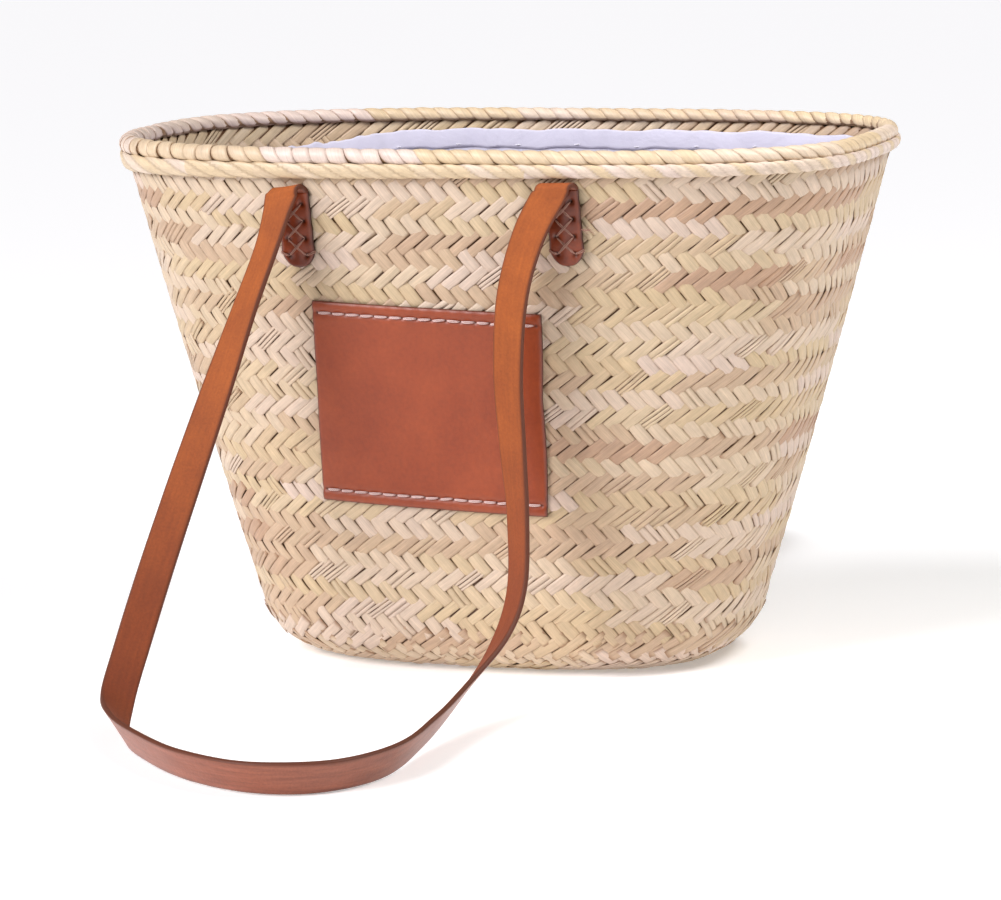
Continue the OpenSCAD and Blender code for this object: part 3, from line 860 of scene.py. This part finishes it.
def round_liner(name, run_of, depth_of, levels, thickness, material, closed_bottom):
    """A skin of cloth round the inside of the wall, with its own thickness."""
    points = []
    angles = even_angles(LINER_COLUMNS)
    turn = np.arange(LINER_COLUMNS) / LINER_COLUMNS * 2 * math.pi
    mouth_x = on_oval(angles, wall_thickness, wall_height, 0)[:, 0]
    for inner in (0, thickness):
        for level in levels:
            for angle, t, x in zip(angles, turn, mouth_x):
                inset, z = section(run_of(level, x, t), depth_of(level, t) + inner)
                points.append(on_oval(angle, inset, z, z))
    n, rows = LINER_COLUMNS, len(levels)
    faces = []
    for skin_no in (0, 1):
        for k in range(rows - 1):
            for i in range(n):
                a = (skin_no * rows + k) * n + i
                b = (skin_no * rows + k) * n + (i + 1) % n
                faces.append((a, b, b + n, a + n) if skin_no == 0 else (a, a + n, b + n, b))
    top, inner_top = (rows - 1) * n, (2 * rows - 1) * n
    faces += [(top + i, top + (i + 1) % n, inner_top + (i + 1) % n, inner_top + i) for i in range(n)]
    if closed_bottom:
        faces += [tuple(reversed(range(n))), tuple(rows * n + i for i in range(n))]
    else:
        faces += [((i + 1) % n, i, rows * n + i, rows * n + (i + 1) % n) for i in range(n)]
    return piece_from(name, points, faces, material)


bag_levels = [0, 0.03, 0.06, 0.09, 0.12, 0.16, 0.3, 0.45, 0.6, 0.7, 0.78, 0.84, 0.88, 0.92, 0.96, 1]
liner_bag = round_liner("liner_bag",
                        lambda level, x, turn: seam_gap + (liner_run - liner_edge(x, turn) - seam_gap) * level,
                        lambda level, turn: liner_depth + slack(turn, level) * min(level * 4, 1) * 0.9,
                        bag_levels, liner_thickness * 0.6, cotton, True)
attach(liner_bag, "basket")
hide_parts("liner_base", "liner_wall")

hem = round_liner("liner_fold",
                  lambda level, x, turn: liner_run - liner_edge(x, turn) - hem_height * (1 - level),
                  lambda level, turn: (liner_depth + slack(turn, 1) * 0.9 + liner_thickness * 0.7
                                       + 0.5 * math.sin(math.pi * level)),
                  [0, 0.15, 0.4, 0.7, 0.9, 1], liner_thickness * 0.6, cotton, False)
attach(hem, "basket")
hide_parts("liner_hem")

# Tacking stitches of white thread, one long bite each, sunk at both ends.
STITCHES_IN_LINER = 30
stitch_rise = 2


def thread_finish(name, light, dark):
    """Waxed two-ply thread: fine slanting plies, with painted shade in the grooves between them."""
    material, tree, skin = finish_of(name, 0.6, sheen=0.1)
    place = node(tree, "ShaderNodeTexCoord").outputs["Object"]
    plies = node(tree, "ShaderNodeTexWave", {"Vector": place, "Scale": 520.0, "Distortion": 1.0},
                 bands_direction="DIAGONAL").outputs["Fac"]
    # Painted shade: the colour turns to the dark one in the grooves between the plies.
    tree.links.new(mixed(tree, plies, dye(*dark), dye(*light)), skin.inputs["Base Color"])
    relief(tree, skin, (plies, 0.5, 0.0002))
    return material


def tube(path, radius, sides=6):
    """Points and faces of a closed tube along a path, with pointed ends."""
    path = np.asarray(path, float)
    ahead = unit(np.gradient(path, axis=0))
    hint = np.array([0.31, 0.17, 0.93])
    points = []
    for i, (p, t) in enumerate(zip(path, ahead)):
        side = np.cross(t, hint)
        side /= np.linalg.norm(side)
        other = np.cross(t, side)
        r = radius * (0.35 if i in (0, len(path) - 1) else 1)
        points += [p + r * (math.cos(a) * side + math.sin(a) * other)
                   for a in np.linspace(0, 2 * math.pi, sides, endpoint=False)]
    return points, tube_faces(len(path), sides)


def one_stitch(name, length, radius, rise):
    """A stitch that comes up, runs along and goes down again."""
    line = [(length * s / 2, 0.15 * math.sin(4 * s), rise * (1 - abs(s) ** 3 * 1.9)) for s in
            (-1, -0.9, -0.65, -0.3, 0.1, 0.45, 0.75, 0.92, 1)]
    points, faces = tube(line, radius)
    return piece_from(name, points, faces, facts={"edge": [0] * len(points)})


white_thread = thread_finish("white_thread", (240, 238, 242), (196, 192, 200))
tack_kit = kit_of("tacks", [one_stitch("tack", 3.2, 0.35, 0.4)])
turns = (np.arange(STITCHES_IN_LINER) + 0.5) / STITCHES_IN_LINER
tack_places, tack_rights, tack_outs = [], [], []
for turn in turns:
    x = round_oval(np.array([turn]), wall_thickness, wall_height, 0)[0, 0]
    run = liner_run - liner_edge(x, turn * 2 * math.pi) - hem_height + stitch_rise
    depth = liner_depth + slack(turn * 2 * math.pi, 1) * 0.9 + liner_thickness * 1.3 + 0.35
    place, right, up, out = wall_seats([turn], run, depth)
    tack_places.append(place[0])
    tack_rights.append(-right[0])
    tack_outs.append(-out[0])
tacks = seated_piece("liner_tacks", seating,
                     {"place": tack_places, "out": np.array(tack_outs), "along": np.array(tack_rights),
                      "size": np.ones((STITCHES_IN_LINER, 3)),
                      "pick": np.zeros(STITCHES_IN_LINER, dtype=np.int32)},
                     **{"Kit": tack_kit, "Tilt": 0.12, "Size Variation": 0.1, "Seed": 5, "Finish": white_thread})
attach(tacks, "basket")
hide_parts("liner_stitches")

# ---- Leather patch and its stitches ----
# A plain rectangle of smooth brown hide, sewn to the wall along its top and bottom only.
# The thread pulls a groove into the leather and lets the edge beyond it roll out.

patch_width, patch_height, patch_middle, patch_thickness = 144, 124, 167, 2.2
patch_shift, patch_turn = -8, math.radians(2)
stitch_inset, STITCHES_IN_PATCH = 7, 15
stitch_pitch = (patch_width - 6) / STITCHES_IN_PATCH


def leather(name, top, low, edge_colour, roughness, pores, coat=0.0, marks=1.0):
    """Vegetable-tanned hide: cloudy colour, fine pores, painted shade near black in its stitch holes, and darker
    along its cut edges.
    """
    material, tree, skin = finish_of(name, roughness, coat=coat)
    skin.inputs["Coat Roughness"].default_value = 0.35
    place = node(tree, "ShaderNodeTexCoord").outputs["Object"]
    clouds = noise(tree, place, 26.0, 6.0, Roughness=0.62)
    grain = noise(tree, place, 420.0, 4.0)
    cells = node(tree, "ShaderNodeTexVoronoi", {"Vector": place, "Scale": pores}, feature="DISTANCE_TO_EDGE")
    colour = mixed(tree, ranged(tree, clouds, 0.32, 0.68), dye(*low), dye(*top))
    colour = shaded(tree, colour, ranged(tree, grain, 0.25, 0.75, 1 - 0.12 * marks, 1 + 0.08 * marks))
    colour = mixed(tree, fact_of(tree, "cut"), colour, dye(*edge_colour))
    # Painted shade: where the pit fact is high, in the stitch holes, the colour turns near black.
    colour = mixed(tree, fact_of(tree, "pit"), colour, dye(38, 16, 8))
    tree.links.new(colour, skin.inputs["Base Color"])
    relief(tree, skin, (cells.outputs["Distance"], 0.35, 0.0002), (grain, 0.4, 0.0003), (clouds, 0.25, 0.0012))
    return material


patch_leather = leather("patch_leather", (154, 66, 26), (136, 53, 17), (74, 32, 18), 0.42, 900.0, coat=0.1)


def on_patch(u, v, stand_off):
    """A point off the wall's front from its place on the turned patch: u across, v up, from its middle."""
    x = patch_shift + u * math.cos(patch_turn) + v * math.sin(patch_turn)
    z = patch_middle + v * math.cos(patch_turn) - u * math.sin(patch_turn)
    return x, front_y(x, z) - stand_off, z


def bump_at(distance, width):
    return math.exp(-(distance / width) ** 2)


def slab_faces(columns, rows, backward=False):
    """Faces of a closed slab from two point grids, one in front of the other, and its four edges."""
    layer = columns * rows
    faces = []
    for j in range(rows - 1):
        for i in range(columns - 1):
            a = j * columns + i
            faces.append((a, a + columns, a + columns + 1, a + 1))
            faces.append((layer + a, layer + a + 1, layer + a + columns + 1, layer + a + columns))
    for i in range(columns - 1):
        faces.append((i, i + 1, layer + i + 1, layer + i))
        a = (rows - 1) * columns + i
        faces.append((a + 1, a, layer + a, layer + a + 1))
    for j in range(rows - 1):
        a = j * columns
        faces.append((a + columns, a, layer + a, layer + a + columns))
        a += columns - 1
        faces.append((a, a + columns, layer + a + columns, layer + a))
    return [tuple(reversed(face)) for face in faces] if backward else faces


patch_columns = np.linspace(-patch_width / 2, patch_width / 2, 176)
near_seam = np.linspace(0, 12, 18)
patch_rows = np.concatenate([near_seam, np.linspace(12, patch_height - 12, 30)[1:-1],
                             patch_height - near_seam[::-1]])
hole_spots = [(stitch_pitch * (i - STITCHES_IN_PATCH / 2), v)
              for i in range(STITCHES_IN_PATCH + 1) for v in (stitch_inset, patch_height - stitch_inset)]
patch_points, patch_facts = [], {"pit": [], "cut": []}
for back in (0, 1):
    for v in patch_rows:
        end = min(v, patch_height - v)
        for u in patch_columns:
            side = patch_width / 2 - abs(u)
            bow = 1.2 * math.sin(v / 23) * (1 if u > 0 else 0.3) * (abs(u) / patch_width * 2) ** 6
            pit = max([bump_at(math.hypot(u - hu, v - hv), 0.75) for hu, hv in hole_spots
                       if abs(v - hv) < 3], default=0)
            groove = 0.55 * bump_at(end - stitch_inset, 1.6)
            lip = 0.75 * bump_at(end - 3.0, 2.6)
            swelling = 0.35 * bump_at(end - stitch_inset - 4, 3.2)
            rounding = 0.55 * (bump_at(side, 0.8) + bump_at(end, 0.8))
            ripple = 0.12 * math.sin(2 * math.pi * u / stitch_pitch) * bump_at(end - 2, 3)
            height = patch_thickness * 0.86 + lip + swelling + ripple - groove - rounding - 0.8 * pit
            depth = height if back == 0 else 0.0
            patch_points.append(on_patch(u + math.copysign(bow, u), v - patch_height / 2, touch_gap + depth))
            # The pit fact marks the stitch holes, where the finish paints shade near black.
            patch_facts["pit"].append(pit)
            patch_facts["cut"].append(1 if back else 0.75 * bump_at(side, 0.7) + 0.75 * bump_at(end, 0.7))
patch = piece_from("leather_patch", patch_points, slab_faces(len(patch_columns), len(patch_rows), backward=True),
                   patch_leather, facts=patch_facts)
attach(patch, "basket")
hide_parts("patch")

lilac_thread = thread_finish("lilac_thread", (224, 196, 190), (178, 140, 134))


def double_stitch(name, length):
    """Two plies of thread side by side, diving into the awl holes at each end."""
    points, faces = [], []
    for side in (-1, 1):
        line = [(length * s / 2, side * (0.12 + 0.3 * (1 - s * s)), 0.75 * (1 - abs(s) ** 4 * 2.2)) for s in
                (-1, -0.9, -0.7, -0.35, 0, 0.35, 0.7, 0.9, 1)]
        some, more = tube(line, 0.42)
        faces += [tuple(len(points) + v for v in face) for face in more]
        points += some
    return piece_from(name, points, faces, facts={"edge": [0] * len(points)})


stitch_kit = kit_of("patch_stitch", [double_stitch("patch_stitch_shape", stitch_pitch * 0.9)])
for name, v in (("patch_top_stitches", patch_height - stitch_inset), ("patch_bottom_stitches", stitch_inset)):
    height = touch_gap + patch_thickness * 0.86 - 0.25
    stitch_us = [stitch_pitch * (i + 0.5 - STITCHES_IN_PATCH / 2) for i in range(STITCHES_IN_PATCH)]
    place = np.array([on_patch(u, v - patch_height / 2, height) for u in stitch_us])
    ahead = np.array([on_patch(u + 1, v - patch_height / 2, height) for u in stitch_us]) - place
    along = unit(ahead + [0, 0, 0.07])
    out = unit(np.stack([ahead[:, 1], -ahead[:, 0], np.zeros(STITCHES_IN_PATCH)], 1))
    stitches = seated_piece(name + "_thread", seating,
                            {"place": place, "out": out, "along": along,
                             "size": np.ones((STITCHES_IN_PATCH, 3)),
                             "pick": np.zeros(STITCHES_IN_PATCH, dtype=np.int32)},
                            **{"Kit": stitch_kit, "Tilt": 0.1, "Size Variation": 0.06, "Seed": 11,
                               "Finish": lilac_thread})
    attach(stitches, "basket")
    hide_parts(name)

# ---- Sewn ends of the straps ----
# Each strap end is laced flat to the wall through two columns of holes, its smooth side out,
# and then folds over itself so that its suede side faces out.

strap_width, strap_thickness = 21, 3.2
fold_offset, fold_drops = 85, (2.5, 0.5)
tab_length, fold_d, fold_gap, tab_standoff = 46, 5, 0.4, 1.4
hole_columns, hole_rows, first_hole_drop = 11, 10.5, 7
fold_reach = fold_d / 2 + fold_gap + strap_thickness


def fold_place(side):
    x = side * fold_offset
    z = cord_bottom(x) - fold_reach - fold_drops[0 if side < 0 else 1]
    return np.array([x, front_y(x, z) - tab_standoff - fold_d / 2, z])


left_fold, right_fold = fold_place(-1), fold_place(1)
fold_line = right_fold - left_fold
fold_axis = unit(fold_line)
fold_tilt = -math.atan(fold_line[2] / fold_line[0])
fold_yaw = math.atan(fold_line[1] / fold_line[0])
wall_lean = math.atan((mouth_width - base_width) / 2 / wall_height)
fold_frame = np.array(Matrix.Rotation(fold_yaw, 3, "Z") @ Matrix.Rotation(fold_tilt, 3, "Y")
                      @ Matrix.Rotation(wall_lean, 3, "X"))


def at_fold(side, points):
    """Puts points at a fold: X along its axis, Z up along the wall."""
    centre = left_fold if side < 0 else right_fold
    return np.asarray(points, float) @ fold_frame.T + centre


def to_side(points, faces, rear):
    """The same piece for the front, or mirrored for the rear with its faces turned back outwards."""
    if not rear:
        return points, faces
    return [(p[0], -p[1], p[2]) for p in points], [tuple(reversed(face)) for face in faces]


tab_leather = leather("tab_leather", (150, 62, 20), (82, 28, 6), (46, 15, 4), 0.38, 700.0, coat=0.15, marks=1.6)
tab_holes = [(s * hole_columns / 2, -first_hole_drop - i * hole_rows) for i in range(4) for s in (-1, 1)]
tab_back = fold_d / 2


def tab_shape():
    """A tongue with a rounded end, drawn down where the thread pulls at its holes."""
    across, down = np.linspace(-1, 1, 33), np.linspace(0, 1, 66) ** 0.97
    straight = tab_length - strap_width / 2
    points, pits, cuts = [], [], []
    for back in (0, 1):
        for d in down:
            drop = d * tab_length
            over = max(drop - straight, 0) / (strap_width / 2)
            half = strap_width / 2 * math.sqrt(max(1 - over ** 2, 0.0004))
            half *= 1 - 0.03 * math.sin(drop * 0.27) ** 2
            for a in across:
                x, z = a * half, -drop
                pit = max(bump_at(math.hypot(x - hx, z - hz), 1.3) for hx, hz in tab_holes)
                puckers = sum(bump_at(math.hypot(x - hx, z - hz), 3.2) for hx, hz in tab_holes)
                rim = min((1 - abs(a)) * half, (1 - over) * strap_width / 2)
                rounding = 0.9 * bump_at(rim, 0.9)
                crown = 0.5 * (1 - a * a)
                height = strap_thickness - 0.5 + crown - rounding - 0.75 * puckers - 1.2 * pit
                y = tab_back - (height if back == 0 else 0.25 * bump_at(rim, 1.0))
                points.append((x, y, z))
                # The pit fact marks the lacing holes, where the finish paints shade near black.
                pits.append(pit if back == 0 else 0)
                cuts.append(0.8 * bump_at(rim, 0.8) if back == 0 else 1)
    return points, pits, cuts, len(across), len(down)


sewn_ends = [("front_left_", -1, False), ("front_right_", 1, False), ("rear_left_", -1, True),
             ("rear_right_", 1, True)]
tab_points, tab_pits, tab_cuts, tab_columns, tab_rows = tab_shape()
for where, side, rear in sewn_ends:
    points, faces = to_side(at_fold(side, tab_points), slab_faces(tab_columns, tab_rows), rear)
    tab = piece_from(where + "tab_leather", points, faces, tab_leather, facts={"pit": tab_pits, "cut": tab_cuts})
    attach(tab, "basket")
    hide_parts(where + "tab")

# ---- Lacing ----
# Doubled pink thread crosses from row to row of the holes, and the last holes are whipped round the edge.

pink_thread = thread_finish("pink_thread", (186, 140, 122), (134, 88, 72))
tab_face = tab_back - strap_thickness


def lacing_shape(frayed):
    """The crossing threads over one sewn end, and the loose hairs of a cut thread beside it."""
    points, faces = [], []

    def lay_thread(path, radius):
        some, more = tube(path, radius)
        faces.extend(tuple(len(points) + v for v in face) for face in more)
        points.extend(some)

    def bridge(a, b, lift, part):
        a, b = np.array(a, float), np.array(b, float)
        aside = unit(np.array([-(b - a)[1], (b - a)[0]])) * part * 0.42
        path = []
        for s in np.linspace(0, 1, 11):
            rise = math.sin(math.pi * s) ** 0.45 if 0 < s < 1 else 0
            x, z = a + (b - a) * s + aside * math.sin(math.pi * s)
            path.append((x, tab_face + 0.9 - (0.75 + lift) * rise, z))
        lay_thread(path, 0.36)

    x = hole_columns / 2
    for i in range(3):
        top = -first_hole_drop - i * hole_rows
        for part in (-1, 1):
            bridge((-x, top), (x, top - hole_rows), 0.1, part)
            bridge((x, top), (-x, top - hole_rows), 0.75, part)
    low = -first_hole_drop - 3 * hole_rows
    for s in (-1, 1):
        for part in (-1, 1):
            end = (s * (strap_width / 2 + 0.5), low + 2 + part * 0.5)
            path = [(s * x, tab_face + 0.8, low), (s * x * 1.15, tab_face + 0.1, low + 0.6 + part * 0.3),
                    (s * x * 1.5, tab_face - 0.1, low + 1.2 + part * 0.4), (end[0] - s, tab_face + 0.4, end[1]),
                    (end[0], tab_face + 1.6, end[1]), (end[0] - s * 0.8, tab_back + 0.4, end[1] - 0.2)]
            lay_thread(path, 0.34)
    if frayed:
        chance = random.Random(8)
        for _ in range(9):
            reach, fall = chance.uniform(5, 11), chance.uniform(-7, 3)
            start = np.array([strap_width / 2 - 0.6, tab_face + 1.8, -first_hole_drop - 1.6 * hole_rows])
            path = [start + np.array([reach * s, -1.2 * math.sin(3 * s) - 0.2, fall * s * s
                                      + chance.uniform(-0.4, 0.4)]) for s in np.linspace(0, 1, 6)]
            lay_thread(path, 0.13)
    return points, faces


for where, side, rear in sewn_ends:
    lacing_points, lacing_faces = lacing_shape(side > 0)
    points, faces = to_side(at_fold(side, lacing_points), lacing_faces, rear)
    laced = piece_from(where + "lacing_thread", points, faces, pink_thread)
    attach(laced, "basket")
    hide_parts(where + "lacing")

# ---- Straps ----
# One long belt of thick hide for each side: suede side out on both hanging runs, dark cut edges,
# standing on its edge where it lies round on the floor. It bends over the sewn ends at both folds.

floor_lean = math.radians(27)
floor_rise = strap_width / 2 * math.cos(floor_lean) + strap_thickness / 2 * math.sin(floor_lean)
# [x, gap in front of the wall, rise from the floor (0) to the fold (1), direction across the strap]
strap_route = [
    (-95, 19, 0.890, (0.88, -0.47, 0.10)),
    (-106, 35, 0.765, (0.90, -0.42, 0.10)),
    (-118, 59, 0.605, (0.98, -0.18, 0.05)),
    (-131, 86, 0.430, (1.00, 0.05, 0)),
    (-143, 114, 0.255, (0.97, 0.20, 0)),
    (-151, 140, 0.110, (0.92, 0.38, -0.10)),
    (-149, 172, 0.020, (0.78, 0.42, -0.48)),
    (-128, 218, 0, (0.46, 0.26, -0.85)),
    (-94, 260, 0, (0.34, 0.29, -0.89)),
    (-52, 296, 0, (0.23, 0.39, -0.89)),
    (-5, 314, 0, (0, 0.45, -0.89)),
    (35, 300, 0, (-0.36, 0.27, -0.89)),
    (54, 256, 0, (-0.45, 0, -0.89)),
    (52, 194, 0.006, (-0.50, 0, -0.86)),
    (50, 133, 0.035, (-0.60, 0.15, -0.78)),
    (56, 83, 0.105, (-0.72, 0.36, -0.55)),
    (60, 56, 0.200, (-0.74, 0.58, -0.32)),
    (58, 39, 0.338, (-0.78, 0.60, -0.10)),
    (55, 31, 0.483, (-0.88, 0.45, 0)),
    (54, 27, 0.638, (-0.94, 0.33, 0)),
    (58, 22, 0.793, (-0.97, 0.24, 0.05)),
    (68, 15, 0.917, (-0.97, 0.16, 0.15)),
]
strap_start = np.array([0, -(fold_d / 2 + fold_gap + strap_thickness / 2), 0])
fold_level = (left_fold[2] + right_fold[2]) / 2
route_points, route_across = [left_fold + strap_start], [fold_axis]
for x, gap, rise, across in strap_route:
    z = floor_rise + rise * (fold_level - floor_rise)
    route_points.append(np.array([x, -half_width(z) - gap, z]))
    route_across.append(np.array(across, float))
route_points.append(right_fold + strap_start)
route_across.append(-fold_axis)


def smooth(values, u):
    """A smooth curve through a list of points, at a parameter from 0 to the last place in the list."""
    i = min(int(u), len(values) - 2)
    f = u - i
    a, b, c, d = (values[min(max(k, 0), len(values) - 1)] for k in (i - 1, i, i + 1, i + 2))
    return b + f * (c - a) / 2 + f * f * (a - 2.5 * b + 2 * c - d / 2) + f ** 3 * (-a + 3 * b - 3 * c + d) / 2


# Both folds are pulled askew, as the strap leaves to the left; the left one's outer edge hangs lower.
leans = {-1: np.array([-4.5, 0, -0.8]), 1: np.array([-4.0, 0, 0.0])}
slants = {-1: unit(np.array([0.95, -0.12, 0.3])), 1: fold_axis}


def bend_over(side):
    """The turn over a sewn end: from its top, up and outwards, to where the strap starts to hang."""
    top = at_fold(side, [(0, tab_back - strap_thickness / 2, 0)])[0]
    start = (left_fold if side < 0 else right_fold) + strap_start
    middle, reach = (top + start) / 2, (top - start) / 2
    rise = unit(np.cross(reach, fold_axis)) * np.linalg.norm(reach)
    rise *= 1 if rise[2] > 0 else -1
    way = []
    for a in np.linspace(0, math.pi, 13):
        part = (1 - math.cos(a)) / 2
        way.append((middle + reach * math.cos(a) + rise * math.sin(a) + leans[side] * part,
                    unit(rise * math.cos(a) - reach * math.sin(a)),
                    fold_axis + (slants[side] - fold_axis) * part))
    return way


rings = bend_over(-1)[:-1]
route_points[0], route_points[-1] = route_points[0] + leans[-1], route_points[-1] + leans[1]
route_across[0] = slants[-1]
STEPS_IN_SPAN = 16
last = (len(route_points) - 1) * STEPS_IN_SPAN
for i in range(last + 1):
    u = i / STEPS_IN_SPAN
    ahead = unit(smooth(route_points, min(u + 0.05, last / STEPS_IN_SPAN))
                 - smooth(route_points, max(u - 0.05, 0)))
    hang = max(1 - u / 0.4, 0) - max(1 - (last / STEPS_IN_SPAN - u) / 0.4, 0)
    ahead = unit(ahead * (1 - abs(hang)) + np.array([0, 0, -1.0]) * hang)
    rings.append((smooth(route_points, u), ahead, smooth(route_across, u)))
rings += [(p, -t, -across) for p, t, across in reversed(bend_over(1)[:-1])]

half, thin, edge_r = strap_width / 2, strap_thickness / 2, 0.9
near_edge = [(half - 2.2, thin), (half - edge_r, thin), (half - 0.3, thin - 0.3), (half, thin - edge_r)]
one_side = [(-w, h) for w, h in reversed(near_edge)] + [(-half / 2, thin), (0, thin), (half / 2, thin)] + near_edge
strap_section = [(-half, -thin + edge_r), (-half, 0)] + one_side + [(half, 0)]
strap_section += [(-w, -h) for w, h in one_side[:-1]]


def strap_leather_finish():
    """Suede on one face, with painted shade darkening it low down near the floor, smooth grain on the other, and
    dark waxed edges.
    """
    material, tree, skin = finish_of("strap_leather", 0.6)
    place = node(tree, "ShaderNodeTexCoord").outputs["Object"]
    face = fact_of(tree, "face")
    grain = node(tree, "ShaderNodeUVMap", uv_map="grain").outputs["UV"]
    clouds = noise(tree, place, 34.0, 6.0, Roughness=0.65)
    nap = noise(tree, place, 700.0, 4.0)
    long = node(tree, "ShaderNodeVectorMath", {0: grain, 1: (0.03, 0.45, 0)}, operation="MULTIPLY")
    wear = noise(tree, long.outputs[0], 1.0, 4.0)
    height = node(tree, "ShaderNodeSeparateXYZ", {0: place}).outputs["Z"]
    suede = mixed(tree, clouds, dye(124, 54, 12), dye(184, 96, 30))
    # Painted shade: below 0.24 m the suede turns towards a dark brown, most of all near the floor.
    suede = mixed(tree, ranged(tree, height, 0.05, 0.24, 0.75, 0.0), suede, dye(112, 44, 16))
    smooth_side = mixed(tree, wear, dye(116, 58, 36), dye(166, 96, 70))
    colour = mixed(tree, ranged(tree, face, -0.2, 0.2), smooth_side, suede)
    shade = times(tree, ranged(tree, nap, 0.25, 0.75, 0.86, 1.1), ranged(tree, wear, 0.3, 0.7, 0.9, 1.06))
    colour = mixed(tree, fact_of(tree, "cut"), shaded(tree, colour, shade), dye(92, 42, 18))
    tree.links.new(colour, skin.inputs["Base Color"])
    tree.links.new(ranged(tree, face, -0.2, 0.2, 0.36, 0.82), skin.inputs["Roughness"])
    relief(tree, skin, (nap, 0.45, 0.0003), (clouds, 0.4, 0.0015))
    return material


strap_leather = strap_leather_finish()
strap_points, strap_facts, strap_grain = [], {"face": [], "cut": []}, []
gone = 0.0
for i, (centre, ahead, across) in enumerate(rings):
    if i:
        gone += float(np.linalg.norm(centre - rings[i - 1][0]))
    across = unit(across - ahead * float(across @ ahead))
    face_way = np.cross(ahead, across)
    ripple = 0.25 * math.sin(gone / 17) + 0.15 * math.sin(gone / 7.3 + 1)
    for w, h in strap_section:
        at_edge = abs(w) / half
        w_here = w * (1 + 0.012 * ripple)
        strap_points.append(centre + across * w_here + face_way * (h + 0.12 * ripple * at_edge ** 4))
        strap_facts["face"].append(1 if h > thin - 0.1 else -1 if h < 0.1 - thin else 0)
        strap_facts["cut"].append(1 if abs(w) > half - 0.35 else 0.45 if abs(w) > half - 1 else 0)
        strap_grain.append((gone, w))
strap_faces = tube_faces(len(rings), len(strap_section), backward=True)

outward = np.cross(fold_axis, [0, 0, 1.0]) * [1, 1, 0]
middle = np.array([0, (left_fold[1] + right_fold[1]) / 2, fold_level])
for rear, name in ((False, "front_strap"), (True, "rear_strap")):
    points, faces = to_side(strap_points, strap_faces, rear)
    strap = piece_from(name + "_leather", points, faces, strap_leather, facts=strap_facts, grain=strap_grain)
    start, end = middle + outward * 0.2, middle + outward * 2.4
    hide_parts(name)
    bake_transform(strap)

for kit in (leaf_kit, wrap_kit, tack_kit, stitch_kit):
    for shape in list(kit.objects):
        bpy.data.objects.remove(shape)
    bpy.data.collections.remove(kit)
